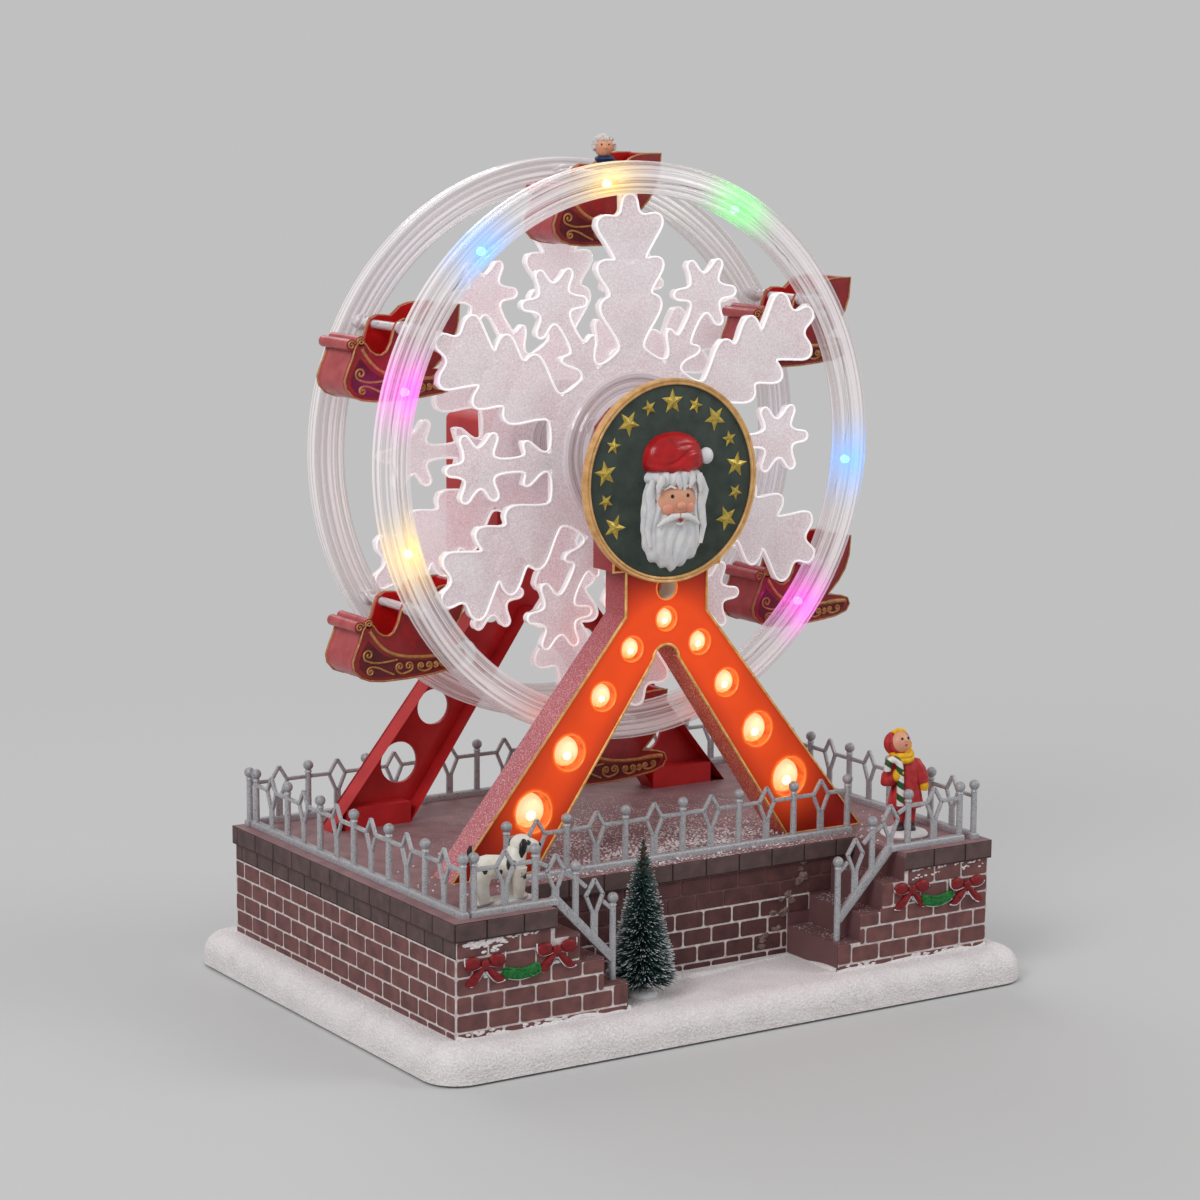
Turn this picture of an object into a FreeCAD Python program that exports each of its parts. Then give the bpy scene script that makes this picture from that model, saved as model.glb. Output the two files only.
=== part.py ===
"""Christmas village ferris wheel: a lit, motor-driven table ornament.

Millimetres. +Z is up, +X runs along the front to the viewer's right and +Y runs to the back.
The origin is the centre of the underside. The wheel turns about Y.
"""
import math
import os

import FreeCAD
import Part
from FreeCAD import Vector

# Snow base and the plate that closes it
base_length = 239.0
base_depth = 178.0
base_top = 12.0
base_corner = 12.0
base_edge_round = 7.5
base_rim = 2.2
base_wall = 5.0
base_roof = 2.8
pad_proud = 0.8
pad_radius = 7.0
pad_inset = 13.0
plate_thickness = 2.0
plate_gap = 0.25
corner_steps = 4
edge_steps = 3
screw_radius = 1.3
screw_hole_play = 0.1
screw_head_radius = 2.5
screw_head_height = 1.4
screw_bite = 8.0
screw_seat_depth = 0.6
post_width = 7.0
base_screw_side_inset = 13.6
base_screw_front_inset = 17.0
base_screw_rear_inset = 13.0
roof_window_side_inset = 22.0
roof_window_front_inset = 12.0
roof_window_rear_inset = 20.0

# Brick platform and its stairs
platform_length = 215.2
platform_depth = 154.0
platform_height = 38.1
platform_wall = 2.4
cap_overhang = 1.0
cap_height = 6.3
recess_depth = 29.0
stair_run = 9.3
stair_steps = 3
landing_half_gap = 70.5

# Fences
fence_post_radius = 1.1
fence_ball_radius = 1.6
fence_ball_height = 19.1
fence_rail_drop = 4.0
fence_rail_height = 1.4
fence_rail_depth = 1.5
foot_rail_height = 2.2
foot_rail_depth = 3.0
diamond_top = 20.0
diamond_half_width = 3.9
diamond_waist = 14.8
diamond_foot = 8.6
diamond_bar = 1.5
stem_half_width = 1.25
left_fence_inset = 5.3
right_fence_inset = 2.8
front_fence_inset = 4.6
rear_fence_inset = 1.6
side_fence_pitch = 24.0
side_fence_bays = 6
rear_fence_pitch = 23.32
rear_fence_bays = 9
centre_fence_setback = 6.0
centre_fence_pitch = 23.38
centre_fence_bays = 6
wing_corner_inset = 9.2
wing_landing_setback = 5.1
wing_middle_reach = 10.3
wing_last_reach = 24.7
wing_middle_ball = 11.4
wing_last_ball = -1.0
wing_foot_rise = 3.9

# A-frames, heights from the platform's top
axle_rise = 135.7
front_frame_front = -34.0
front_frame_depth = 13.0
rear_frame_front = 50.0
rear_frame_depth = 9.0
rear_frame_wall = 1.8
neck_half_width = 16.4
neck_rise = 83.3
head_half_width = 21.5
head_foot_rise = 99.0
head_top_rise = 152.9
head_corner = 6.0
leg_outer_foot = 84.0
leg_inner_foot = 52.0
arch_half_width = 5.2
arch_shoulder_rise = 67.9
arch_top_rise = 72.7
arch_steps = 6
rear_neck_top_rise = 142.9
bearing_inset = 2.0
axle_seat_depth = 8.0
axle_tail = 10.5
light_holes = [(81.4, 3.9), (72.2, 4.1), (57.0, 4.7), (39.2, 5.9), (20.5, 6.9)]
dark_hole_rise = 92.1
dark_hole_radius = 3.9
rear_hole_extra = 0.5
hole_sides = 10
bulb_radius = 1.5
bulb_length = 4.0
seat_gap = 0.25
foot_block_height = 8.0

# Motor housing behind the rear frame
housing_depth = 29.0
housing_foot_rise = 89.9
housing_wall = 1.8
housing_corner = 3.0
vent_count = 4
vent_pitch = 4.0
vent_height = 1.6
vent_half_width = 9.0
vent_drop = 24.0
motor_radius = 9.5
motor_drop = 16.8
gearbox_half_width = 12.5
gearbox_drop = 27.8
gearbox_depth = 9.0
gearbox_gap = 0.5
gearbox_headroom = 0.3
shaft_bore_play = 0.12
shaft_bore_depth = 5.0

# Wheel
wheel_turn = 1.5
arm_count = 6
ring_inner = 88.0
ring_band = 11.0
ring_wall = 1.3
front_ring_front = -14.2
rear_ring_front = 31.0
ring_depth = 6.2
ring_sides = 45
hub_sides = 20
flake_inset = 1.6
flake_thickness = 3.0
hub_disc_radius = 28.0
hub_step_radius = 21.0
hub_disc_proud = 1.9
hub_step_proud = 3.4
drum_radius = 21.0
drum_wall = 1.6
drum_depth = 14.4
core_radius = 5.0
barrel_radius = 13.0
axle_radius = 2.5
axle_bore = 1.55
shaft_clearance = 0.05
running_gap = 0.2
bearing_radius = 5.5
bearing_proud = 1.0
motor_shaft_radius = 1.5
slip_ring_radius = 4.4
slip_ring_length = 5.8
slip_ring_gap = 1.2
pin_inset = 6.0
pin_radius = 1.5
pin_play = 0.1
led_inset = 4.0
led_half_length = 1.8
led_half_width = 1.5
led_first_angle = -38.6
led_pitch = 33.8
led_count = 10
led_height = 2.4

# Sleigh gondolas
sleigh_front = 1.85
sleigh_length = 43.8
sleigh_width = 19.3
sleigh_wall = 1.4
sleigh_scroll_radius = 1.9

# Medallion
medal_radius = 34.6
medal_sides = 32
medal_drop = 6.95
medal_thickness = 3.1
medal_rim = 1.6
medal_recess = 0.8

# Battery box: three AA cells side by side
cell_radius = 7.1
cell_length = 50.2
cell_gap = 1.0
cell_nub_radius = 2.7
cell_nub_length = 1.2
cell_headroom = 0.6
contact_thickness = 0.4
box_centre_y = 10.0
box_wall = 1.5
box_play = 0.3
door_lap = 1.8
board_length = 42.0
board_depth = 34.0
board_thickness = 1.6
board_rise = 4.0
board_gap = 18.0

# Switch and power inlet on the rear wall
control_height = 28.0
jack_x = -78.0
jack_radius = 3.95
switch_x = -50.0
switch_slot_length = 10.4
switch_slot_height = 3.4
knob_length = 6.0
knob_play = 0.1

# Figures and trimmings
tree_height = 55.0
tree_x = -29.8
tree_y = -66.0
child_height = 39.0
child_x = 87.0
child_y = -56.0
dog_length = 22.0
dog_x = -81.0
dog_y = -62.0
bow_width = 16.0
bow_x = 84.4
bow_spread = 13.2
bow_height = 34.6
bow_thickness = 1.3

# Places that follow from the sizes above
plate_top = pad_proud + plate_thickness
platform_top = base_top + platform_height
half_length = platform_length / 2
half_depth = platform_depth / 2
recess_front = recess_depth - half_depth
riser = platform_height / (stair_steps + 1)
ring_outer = ring_inner + ring_band
pin_circle = ring_inner + pin_inset
led_circle = ring_inner + led_inset
axle_height = platform_top + axle_rise
front_frame_back = front_frame_front + front_frame_depth
rear_frame_back = rear_frame_front + rear_frame_depth
housing_back = rear_frame_back + housing_depth
rear_neck_top = platform_top + rear_neck_top_rise
front_ring_back = front_ring_front + ring_depth
rear_ring_back = rear_ring_front + ring_depth
front_flake_front = front_ring_front + flake_inset
rear_flake_front = rear_ring_front + flake_inset
drum_back = rear_flake_front + drum_depth
front_bearing_face = front_frame_back + bearing_proud
rear_bearing_face = rear_frame_front + bearing_inset
sleigh_back = sleigh_front + sleigh_width
medal_height = axle_height - medal_drop
medal_front = front_frame_front - medal_thickness
axle_front = front_frame_back - axle_seat_depth
axle_back = rear_frame_back + axle_tail
slip_ring_front = rear_frame_back + slip_ring_gap
frame_foot_x = (leg_outer_foot + leg_inner_foot) / 2
frame_screw_length = platform_wall + screw_bite - 1.5

screw_x = half_length - base_screw_side_inset
screw_front_y = base_screw_front_inset - half_depth
screw_rear_y = half_depth - base_screw_rear_inset
base_screw_places = [(side * screw_x, y) for y in (screw_front_y, screw_rear_y) for side in (-1, 1)]
frame_screw_rows = [front_frame_front + front_frame_depth / 2, rear_frame_front + rear_frame_depth / 2]
frame_screw_places = [(side * frame_foot_x, y) for side in (-1, 1) for y in frame_screw_rows]
cell_row_half = 1.5 * 2 * cell_radius + cell_gap + box_play
cell_bay_half = cell_length / 2 + contact_thickness + box_play / 2
cell_bay_height = 2 * cell_radius + cell_headroom
door_half_length = cell_row_half + door_lap
door_front = box_centre_y - cell_bay_half - door_lap
door_back = box_centre_y + cell_bay_half + 2 * screw_head_radius + 3 * door_lap
door_screw_place = (0.0, door_back - screw_head_radius - 1.0)
pad_x = base_length / 2 - pad_inset
pad_y = base_depth / 2 - pad_inset
board_x = cell_row_half + box_wall + board_gap
board_y = box_centre_y - board_depth / 2

# Drawing units: each outline below is drawn in these, so that it keeps its shape when its own size changes
flake_unit = ring_inner / 88
sleigh_unit = sleigh_length / 43.8
medal_unit = medal_radius / 34.6
tree_unit = tree_height / 55
child_unit = child_height / 39
dog_unit = dog_length / 22
bow_unit = bow_width / 16

os.makedirs("parts", exist_ok=True)


def save(name, shape):
    """Writes one sub-part, after merging faces that continue each other."""
    shape.removeSplitter().exportStep("parts/" + name + ".step")


def group(solids):
    """Several separate solids of one kind, kept as one sub-part."""
    return Part.makeCompound(solids)


def box(x0, x1, y0, y1, z0, z1):
    return Part.makeBox(x1 - x0, y1 - y0, z1 - z0, Vector(x0, y0, z0))


def rod_y(radius, y0, y1, x=0.0, z=axle_height):
    return Part.makeCylinder(radius, y1 - y0, Vector(x, y0, z), Vector(0, 1, 0))


def face_xz(points, y=0.0):
    corners = [Vector(x, y, z) for x, z in points]
    return Part.Face(Part.makePolygon(corners + corners[:1]))


def plate_xz(points, y0, y1):
    """An upright plate that faces the front, cut to an outline of (x, z) points."""
    return face_xz(points, y0).extrude(Vector(0, y1 - y0, 0))


def sized(points, unit):
    """An outline drawn in units, at its real size."""
    return [(x * unit, z * unit) for x, z in points]


def polar(radius, degrees):
    angle = math.radians(degrees)
    return radius * math.cos(angle), radius * math.sin(angle)


def flat_sided(rings, capped=True):
    """A solid with flat sides between rings of equally many corners. A ring of one corner is a tip."""
    faces = []
    for low, high in zip(rings[:-1], rings[1:]):
        count = max(len(low), len(high))
        for index in range(count):
            after = (index + 1) % count
            corners = [low[0]] if len(low) == 1 else [low[index], low[after]]
            corners += [high[0]] if len(high) == 1 else [high[after], high[index]]
            faces.append(Part.Face(Part.makePolygon(corners + corners[:1])))
    for ring in (rings[0], rings[-1]):
        if capped and len(ring) > 1:
            faces.append(Part.Face(Part.makePolygon(ring + ring[:1])))
    solid = Part.Solid(Part.Shell(faces))
    if solid.Volume < 0:
        solid.reverse()
    return solid


def turned(profile, sides, x=0.0, y=0.0, squash=1.0):
    """A many-sided form turned about an upright line, from (radius, z) pairs."""
    rings = []
    for radius, z in profile:
        angles = [2 * math.pi * (index + 0.5) / sides for index in range(sides if radius else 1)]
        rings.append([Vector(x + radius * math.cos(a), y + squash * radius * math.sin(a), z) for a in angles])
    return flat_sided(rings)


def turned_y(profile, sides, x=0.0, z=axle_height):
    """The same about a line along Y, from (radius, y) pairs."""
    rings = []
    for radius, y in profile:
        angles = [2 * math.pi * (index + 0.5) / sides for index in range(sides if radius else 1)]
        rings.append([Vector(x + radius * math.cos(a), y, z + radius * math.sin(a)) for a in angles])
    return flat_sided(rings)


def around(radius, sides=6):
    """Corner radius of a many-sided hole whose flats lie on a circle of this radius."""
    return radius / math.cos(math.pi / sides)


def disc_y(radius, y0, y1, sides=hub_sides, x=0.0, z=axle_height):
    return turned_y([(radius, y0), (radius, y1)], sides, x, z)


def ring_y(outer, inner, y0, y1, sides):
    """A flat-ended ring with even sides, outside and inside."""
    profile = [(inner, y0), (outer, y0), (outer, y1), (inner, y1), (inner, y0)]
    rings = []
    for radius, y in profile:
        angles = [2 * math.pi * (index + 0.5) / sides for index in range(sides)]
        rings.append([Vector(radius * math.cos(a), y, axle_height + radius * math.sin(a)) for a in angles])
    return flat_sided(rings, False)


def leaned(shape, axis, degrees, foot):
    """A form made upright at the origin, leaned over and set on its foot point."""
    shape.rotate(Vector(0, 0, 0), axis, degrees)
    return shape.translated(foot)


def rounded_ring(length, depth, corner, z):
    """Corners of a rectangle with rounded corners, centred on the origin, at height z."""
    points = []
    for quarter, (side_x, side_y) in enumerate(((1, 1), (-1, 1), (-1, -1), (1, -1))):
        for step in range(corner_steps + 1):
            x, y = polar(corner, 90 * (quarter + step / corner_steps))
            points.append(Vector(side_x * (length / 2 - corner) + x, side_y * (depth / 2 - corner) + y, z))
    return points


def rounded_plate(length, depth, z0, z1, corner):
    return flat_sided([rounded_ring(length, depth, corner, z) for z in (z0, z1)])


def prisms(places, radius, z0, z1, sides=6):
    """Upright many-sided posts or holes."""
    return [turned([(radius, z0), (radius, z1)], sides, x, y) for x, y in places]


def screw_holes(places, z0, z1):
    return prisms(places, screw_radius + screw_hole_play, z0, z1)


def screw_pockets(places, z0, z1):
    return prisms(places, screw_head_radius + 2 * screw_hole_play, z0, z1)


def screws_up(places, seat, length):
    """Screws driven upwards, each with its head's flat against height seat."""
    head_foot = seat - screw_head_height
    profile = [(screw_head_radius, head_foot), (screw_head_radius, seat), (screw_radius, seat),
               (screw_radius, seat + length)]
    return group([turned(profile, 6, x, y) for x, y in places])


def posts(places, z0, z1):
    half = post_width / 2
    return [box(x - half, x + half, y - half, y + half, z0, z1) for x, y in places]


# Snow base
def snow_base():
    """Pillow-edged slab, hollow from below, with a ledge that takes the plate and a window in its roof."""
    rings = [rounded_ring(base_length, base_depth, base_corner, pad_proud)]
    for step in range(edge_steps + 1):
        across, up = polar(base_edge_round, 90 * step / edge_steps)
        inset = base_edge_round - across
        rings.append(rounded_ring(base_length - 2 * inset, base_depth - 2 * inset, base_corner - inset,
                                  base_top - base_edge_round + up))
    slab = flat_sided(rings)
    ledge = rounded_plate(base_length - 2 * base_rim, base_depth - 2 * base_rim, pad_proud - 1, plate_top,
                          base_corner - base_rim)
    roof = base_top - base_roof
    hollow = box(base_wall - base_length / 2, base_length / 2 - base_wall,
                 base_wall - base_depth / 2, base_depth / 2 - base_wall, plate_top - 1, roof)
    slab = slab.cut([ledge, hollow])
    slab = slab.fuse(posts(base_screw_places, plate_top, roof + 0.5))
    window_side = half_length - roof_window_side_inset
    window = box(-window_side, window_side, recess_front + roof_window_front_inset,
                 half_depth - roof_window_rear_inset, roof - 1, base_top + 1)
    return slab.cut([window] + screw_holes(base_screw_places, plate_top - 1, base_top + 1))


def base_plate():
    inset = base_rim + plate_gap
    plate = rounded_plate(base_length - 2 * inset, base_depth - 2 * inset, pad_proud, plate_top,
                          base_corner - inset)
    hatch = box(-door_half_length - plate_gap, door_half_length + plate_gap,
                door_front - plate_gap, door_back + plate_gap, 0, plate_top + 1)
    pockets = screw_pockets(base_screw_places, 0, plate_top - screw_seat_depth)
    plate = plate.cut([hatch] + screw_holes(base_screw_places, 0, plate_top + 1) + pockets)
    rails = [box(board_x + x, board_x + x + 3, board_y, board_y + board_depth, plate_top,
                 plate_top + board_rise) for x in (0, board_length - 3)]
    return plate.fuse(rails)


def pad_places():
    return [(side_x * pad_x, side_y * pad_y) for side_x in (-1, 1) for side_y in (-1, 1)]


# Battery box and circuit board
def battery_box():
    bay_top = plate_top + cell_bay_height
    outer = box(-cell_row_half - box_wall, cell_row_half + box_wall, box_centre_y - cell_bay_half - box_wall,
                box_centre_y + cell_bay_half + box_wall, plate_top, bay_top + box_wall)
    flange = box(-door_half_length - 3, door_half_length + 3, door_front - 3, door_back + 3,
                 plate_top, plate_top + box_wall)
    boss = posts([door_screw_place], plate_top, plate_top + 6)
    tub = outer.fuse([flange] + boss)
    bay = box(-cell_row_half, cell_row_half, box_centre_y - cell_bay_half, box_centre_y + cell_bay_half,
              plate_top - 1, bay_top)
    return tub.cut([bay] + screw_holes([door_screw_place], plate_top - 1, plate_top + 5))


def cell_middles():
    return [index * (2 * cell_radius + cell_gap) for index in (-1, 0, 1)]


def battery_cells():
    solids = []
    height = plate_top + 0.1 + cell_radius
    start = box_centre_y - cell_length / 2
    shoulder = start + cell_nub_length
    end = start + cell_length
    for middle in cell_middles():
        profile = [(cell_nub_radius, start), (cell_nub_radius, shoulder), (cell_radius, shoulder),
                   (cell_radius, end)]
        solids.append(turned_y(profile, 9, middle, height))
    return group(solids)


def battery_contacts():
    solids = []
    height = plate_top + 0.1 + cell_radius
    for middle in cell_middles():
        for side in (-1, 1):
            inner = box_centre_y + side * cell_length / 2
            low, high = sorted((inner, inner + side * contact_thickness))
            solids.append(box(middle - 5, middle + 5, low, high, height - 5, height + 5))
    return group(solids)


def battery_door():
    door = box(-door_half_length, door_half_length, door_front, door_back, pad_proud, plate_top)
    grips = [box(-8, 8, door_front + y, door_front + y + 2, 0, pad_proud + 0.8) for y in (4, 8, 12)]
    holes = screw_holes([door_screw_place], 0, plate_top + 1)
    return door.cut(grips + holes + screw_pockets([door_screw_place], 0, plate_top - screw_seat_depth))


def circuit_board():
    bottom = plate_top + board_rise
    top = bottom + board_thickness
    board = box(board_x, board_x + board_length, board_y, board_y + board_depth, bottom, top)
    chip = box(board_x + 14, board_x + 24, board_y + 12, board_y + 19, top, top + 1.8)
    connector = box(board_x + 6, board_x + 12, board_y + 24, board_y + 32, top, top + 5.4)
    capacitor = turned([(3.1, top), (3.1, top + 7.4)], 8, board_x + 33, board_y + 16)
    return board.fuse([chip, connector, capacitor])


# Brick platform with two stair wings
def step_edges():
    """Inner edge and top of the landing, then of each step below it."""
    return [(landing_half_gap - index * stair_run, platform_top - index * riser)
            for index in range(stair_steps + 1)]


def platform_shell():
    """Hollow platform with a proud cap course, two stair wings and a recess between them."""
    wall = platform_wall
    out = cap_overhang
    cap_foot = platform_top - cap_height
    body = box(-half_length, half_length, recess_front, half_depth, base_top, platform_top)
    body = body.fuse(box(-half_length - out, half_length + out, recess_front - out, half_depth + out,
                         cap_foot, platform_top))
    room = box(wall - half_length, half_length - wall, recess_front + wall, half_depth - wall,
               base_top - 1, platform_top - wall)
    for side in (-1, 1):
        for edge, height in step_edges():
            low, high = sorted((side * edge, side * half_length))
            body = body.fuse(box(low, high, -half_depth, recess_front + 1, base_top, height))
            low, high = sorted((side * (edge + wall), side * (half_length - wall)))
            room = room.fuse(box(low, high, wall - half_depth, recess_front + wall + 1, base_top - 1,
                                 height - wall))
        low, high = sorted((side * landing_half_gap, side * (half_length + out)))
        body = body.fuse(box(low, high, -half_depth - out, recess_front, cap_foot, platform_top))
    body = body.cut(room)
    body = body.fuse(posts(base_screw_places, base_top, platform_top - 1))
    inlet = turned_y([(jack_radius + 0.05, half_depth - wall - 1), (jack_radius + 0.05, half_depth + 1)],
                     hole_sides, jack_x, control_height)
    opening = box(switch_x - 7.05, switch_x + 7.05, half_depth - wall - 1, half_depth + 1,
                  control_height - 3.05, control_height + 3.05)
    holes = screw_holes(base_screw_places, base_top - 1, base_top + screw_bite + 1)
    holes += screw_holes(frame_screw_places, platform_top - wall - 1, platform_top + 1)
    return body.cut([inlet, opening] + holes)


def dc_jack():
    flange = [(5.4, half_depth + 1.2), (5.4, half_depth), (jack_radius, half_depth),
              (jack_radius, half_depth - 12)]
    jack = turned_y(flange, hole_sides, jack_x, control_height)
    socket = turned_y([(2.8, half_depth - 9), (2.8, half_depth + 2)], 8, jack_x, control_height)
    contact = turned_y([(1.0, half_depth - 9.5), (1.0, half_depth)], 6, jack_x, control_height)
    return jack.cut(socket).fuse(contact)


def switch_housing():
    body = box(switch_x - 7, switch_x + 7, half_depth - 8, half_depth, control_height - 3, control_height + 3)
    bezel = box(switch_x - 9, switch_x + 9, half_depth, half_depth + 1, control_height - 4.5,
                control_height + 4.5)
    slot = box(switch_x - switch_slot_length / 2, switch_x + switch_slot_length / 2, half_depth - 4,
               half_depth + 2, control_height - switch_slot_height / 2,
               control_height + switch_slot_height / 2)
    return body.fuse(bezel).cut(slot)


def switch_knob():
    """A slider with a finger bar, at the off end of its slot."""
    left = switch_x - switch_slot_length / 2 + knob_play
    half = switch_slot_height / 2 - knob_play
    slider = box(left, left + knob_length, half_depth - 4 + knob_play, half_depth - 1, control_height - half,
                 control_height + half)
    finger = box(left + 1.5, left + knob_length - 1.5, half_depth - 2, half_depth + 3, control_height - half,
                 control_height + half)
    return slider.fuse(finger)


# Fences: drawn flat as (distance along, height), then thickened and stood up
def diamond(middle, foot, lift=0.0):
    """A hollow diamond on a short stem that ends at height foot."""
    outline = [(middle, lift + diamond_top), (middle + diamond_half_width, lift + diamond_waist),
               (middle + stem_half_width, lift + diamond_foot), (middle + stem_half_width, foot),
               (middle - stem_half_width, foot), (middle - stem_half_width, lift + diamond_foot),
               (middle - diamond_half_width, lift + diamond_waist)]
    hole = [(middle, lift + diamond_top - 2.2 * diamond_bar),
            (middle + diamond_half_width - 1.2 * diamond_bar, lift + diamond_waist),
            (middle, lift + diamond_foot + 1.2 * diamond_bar),
            (middle - diamond_half_width + 1.2 * diamond_bar, lift + diamond_waist)]
    return face_xz(outline).cut(face_xz(hole))


def strip(start, end, half_height=fence_rail_height / 2):
    """A rail of even height between two (distance, height) points, with upright ends."""
    return face_xz([(start[0], start[1] - half_height), (end[0], end[1] - half_height),
                    (end[0], end[1] + half_height), (start[0], start[1] + half_height)])


def rail_bay(start, end, foot):
    """The rail from post to post, broken by a diamond whose waist lies on the rail's line."""
    middle = ((start[0] + end[0]) / 2, (start[1] + end[1]) / 2)
    slope = (end[1] - start[1]) / (end[0] - start[0])
    reach = diamond_half_width - fence_rail_height / 2
    before = (middle[0] - reach, middle[1] - slope * reach)
    after = (middle[0] + reach, middle[1] + slope * reach)
    return [diamond(middle[0], foot, middle[1] - diamond_waist), strip(start, before), strip(after, end)]


def thickened(faces, depth):
    sheet = faces[0].fuse(faces[1:]).removeSplitter() if len(faces) > 1 else faces[0]
    return sheet.extrude(Vector(0, depth, 0)).translated(Vector(0, -depth / 2, 0))


def fence_post(at, foot, ball):
    """A slim square post with a faceted finial."""
    radius = fence_ball_radius
    profile = [(fence_post_radius, foot), (fence_post_radius, ball - 0.8 * radius), (radius, ball),
               (0, ball + radius)]
    return turned([(around(size, 4), height) for size, height in profile], 4, at)


def level_fence(pitch, bays):
    """A fence that stands on height 0 and starts at distance 0."""
    rail = fence_ball_height - fence_rail_drop
    foot = foot_rail_height - 0.2
    faces = []
    for index in range(bays):
        faces += rail_bay((index * pitch, rail), (index * pitch + pitch, rail), foot)
    end = fence_post_radius + 0.2
    base = box(-end, bays * pitch + end, -foot_rail_depth / 2, foot_rail_depth / 2, 0, foot_rail_height)
    uprights = [fence_post(index * pitch, foot, fence_ball_height) for index in range(bays + 1)]
    return base.fuse([thickened(faces, fence_rail_depth)] + uprights)


def side_fence(x):
    fence = level_fence(side_fence_pitch, side_fence_bays)
    fence.rotate(Vector(0, 0, 0), Vector(0, 0, 1), 90)
    return fence.translated(Vector(x, front_fence_inset - half_depth, platform_top))


def rear_fence():
    fence = level_fence(rear_fence_pitch, rear_fence_bays)
    return fence.translated(Vector(front_fence_inset - half_length, half_depth - rear_fence_inset,
                                   platform_top))


def centre_fence():
    start = 2.2 - centre_fence_bays * centre_fence_pitch / 2
    fence = level_fence(centre_fence_pitch, centre_fence_bays)
    return fence.translated(Vector(start, recess_front + centre_fence_setback, platform_top))


def wing_fence():
    """Right wing: a level bay on the landing, then two bays that go down the stairs."""
    ball = platform_top + fence_ball_height
    corner = half_length - wing_corner_inset
    landing = landing_half_gap + wing_landing_setback
    middle = landing_half_gap - wing_middle_reach
    last = landing_half_gap - wing_last_reach
    drop = fence_rail_drop
    tops = [(corner, ball), (landing, ball), (middle, platform_top + wing_middle_ball),
            (last, platform_top + wing_last_ball)]
    tread = platform_top - stair_steps * riser
    foot_slope = riser / stair_run

    def foot_line(x):
        """Height of the sloped foot rail's middle, parallel to the stairs and clear of their corners."""
        return platform_top - foot_slope * (landing_half_gap - x) + wing_foot_rise

    faces = []
    for (x0, z0), (x1, z1) in zip(tops[1:], tops[:-1]):
        bay = (x0 + x1) / 2
        foot = platform_top + foot_rail_height - 0.2 if bay > landing_half_gap else foot_line(bay)
        faces += rail_bay((x0, z0 - drop), (x1, z1 - drop), foot)
    level = box(landing_half_gap + 0.6, corner + fence_post_radius + 0.2, -foot_rail_depth / 2,
                foot_rail_depth / 2, platform_top, platform_top + foot_rail_height)
    slope_start = (last, foot_line(last))
    slope_end = (landing_half_gap + 1.2, foot_line(landing_half_gap + 1.2))
    sloped = thickened([strip(slope_start, slope_end, foot_rail_height / 2)], foot_rail_depth)
    feet = [platform_top + 1.5, platform_top + 1.5, foot_line(middle), tread]
    uprights = [fence_post(x, foot, z) for (x, z), foot in zip(tops, feet)]
    fence = level.fuse([sloped, thickened(faces, fence_rail_depth)] + uprights)
    return fence.translated(Vector(0, front_fence_inset - half_depth, 0))


# A-frames
def frame_outline(top_points):
    """Both legs and the neck of an A-frame. top_points closes the right half of its head."""
    right = [(leg_outer_foot, platform_top), (neck_half_width, platform_top + neck_rise)] + top_points
    arch = [(-leg_inner_foot, platform_top)]
    for step in range(arch_steps + 1):
        angle = math.pi * (1 - step / arch_steps)
        arch.append((arch_half_width * math.cos(angle),
                     platform_top + arch_shoulder_rise + (arch_top_rise - arch_shoulder_rise) * math.sin(angle)))
    arch.append((leg_inner_foot, platform_top))
    return face_xz(right + [(-x, z) for x, z in reversed(right)] + arch)


def axle_hole(y0, y1):
    """A hole whose flats run round the axle with a small clearance."""
    return disc_y(around(axle_radius + shaft_clearance, hole_sides), y0, y1, hole_sides)


def leg_middle(rise):
    """How far out the middle of a leg lies at a height above the platform."""
    outer = leg_outer_foot - (leg_outer_foot - neck_half_width) * rise / neck_rise
    inner = leg_inner_foot - (leg_inner_foot - arch_half_width) * rise / arch_shoulder_rise
    return (outer + inner) / 2


def hole_places():
    """Centre and radius of each light hole: one in the neck, the rest down both legs."""
    rise, radius = light_holes[0]
    places = [(0.0, platform_top + rise, radius)]
    for rise, radius in light_holes[1:]:
        for side in (-1, 1):
            places.append((side * leg_middle(rise), platform_top + rise, radius))
    return places


def front_a_frame():
    """Front frame with a broad head behind the medallion, light holes and a blind bearing bore."""
    head_top = platform_top + head_top_rise
    head_foot = platform_top + head_foot_rise
    head = [(neck_half_width, head_foot), (head_half_width, head_foot),
            (head_half_width, head_top - head_corner), (head_half_width - head_corner, head_top)]
    frame = frame_outline(head).extrude(Vector(0, front_frame_depth, 0))
    frame = frame.translated(Vector(0, front_frame_front, 0))
    frame = frame.fuse(disc_y(bearing_radius, front_frame_back - 1, front_bearing_face, hole_sides))
    places = hole_places() + [(0.0, platform_top + dark_hole_rise, dark_hole_radius)]
    holes = [disc_y(radius, front_frame_front - 1, front_frame_back + 1, hole_sides, x, z)
             for x, z, radius in places]
    holes.append(axle_hole(axle_front - running_gap, front_bearing_face + 1))
    front_feet = [place for place in frame_screw_places if place[1] < 0]
    return frame.cut(holes + screw_holes(front_feet, platform_top - 1, platform_top + screw_bite))


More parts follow.
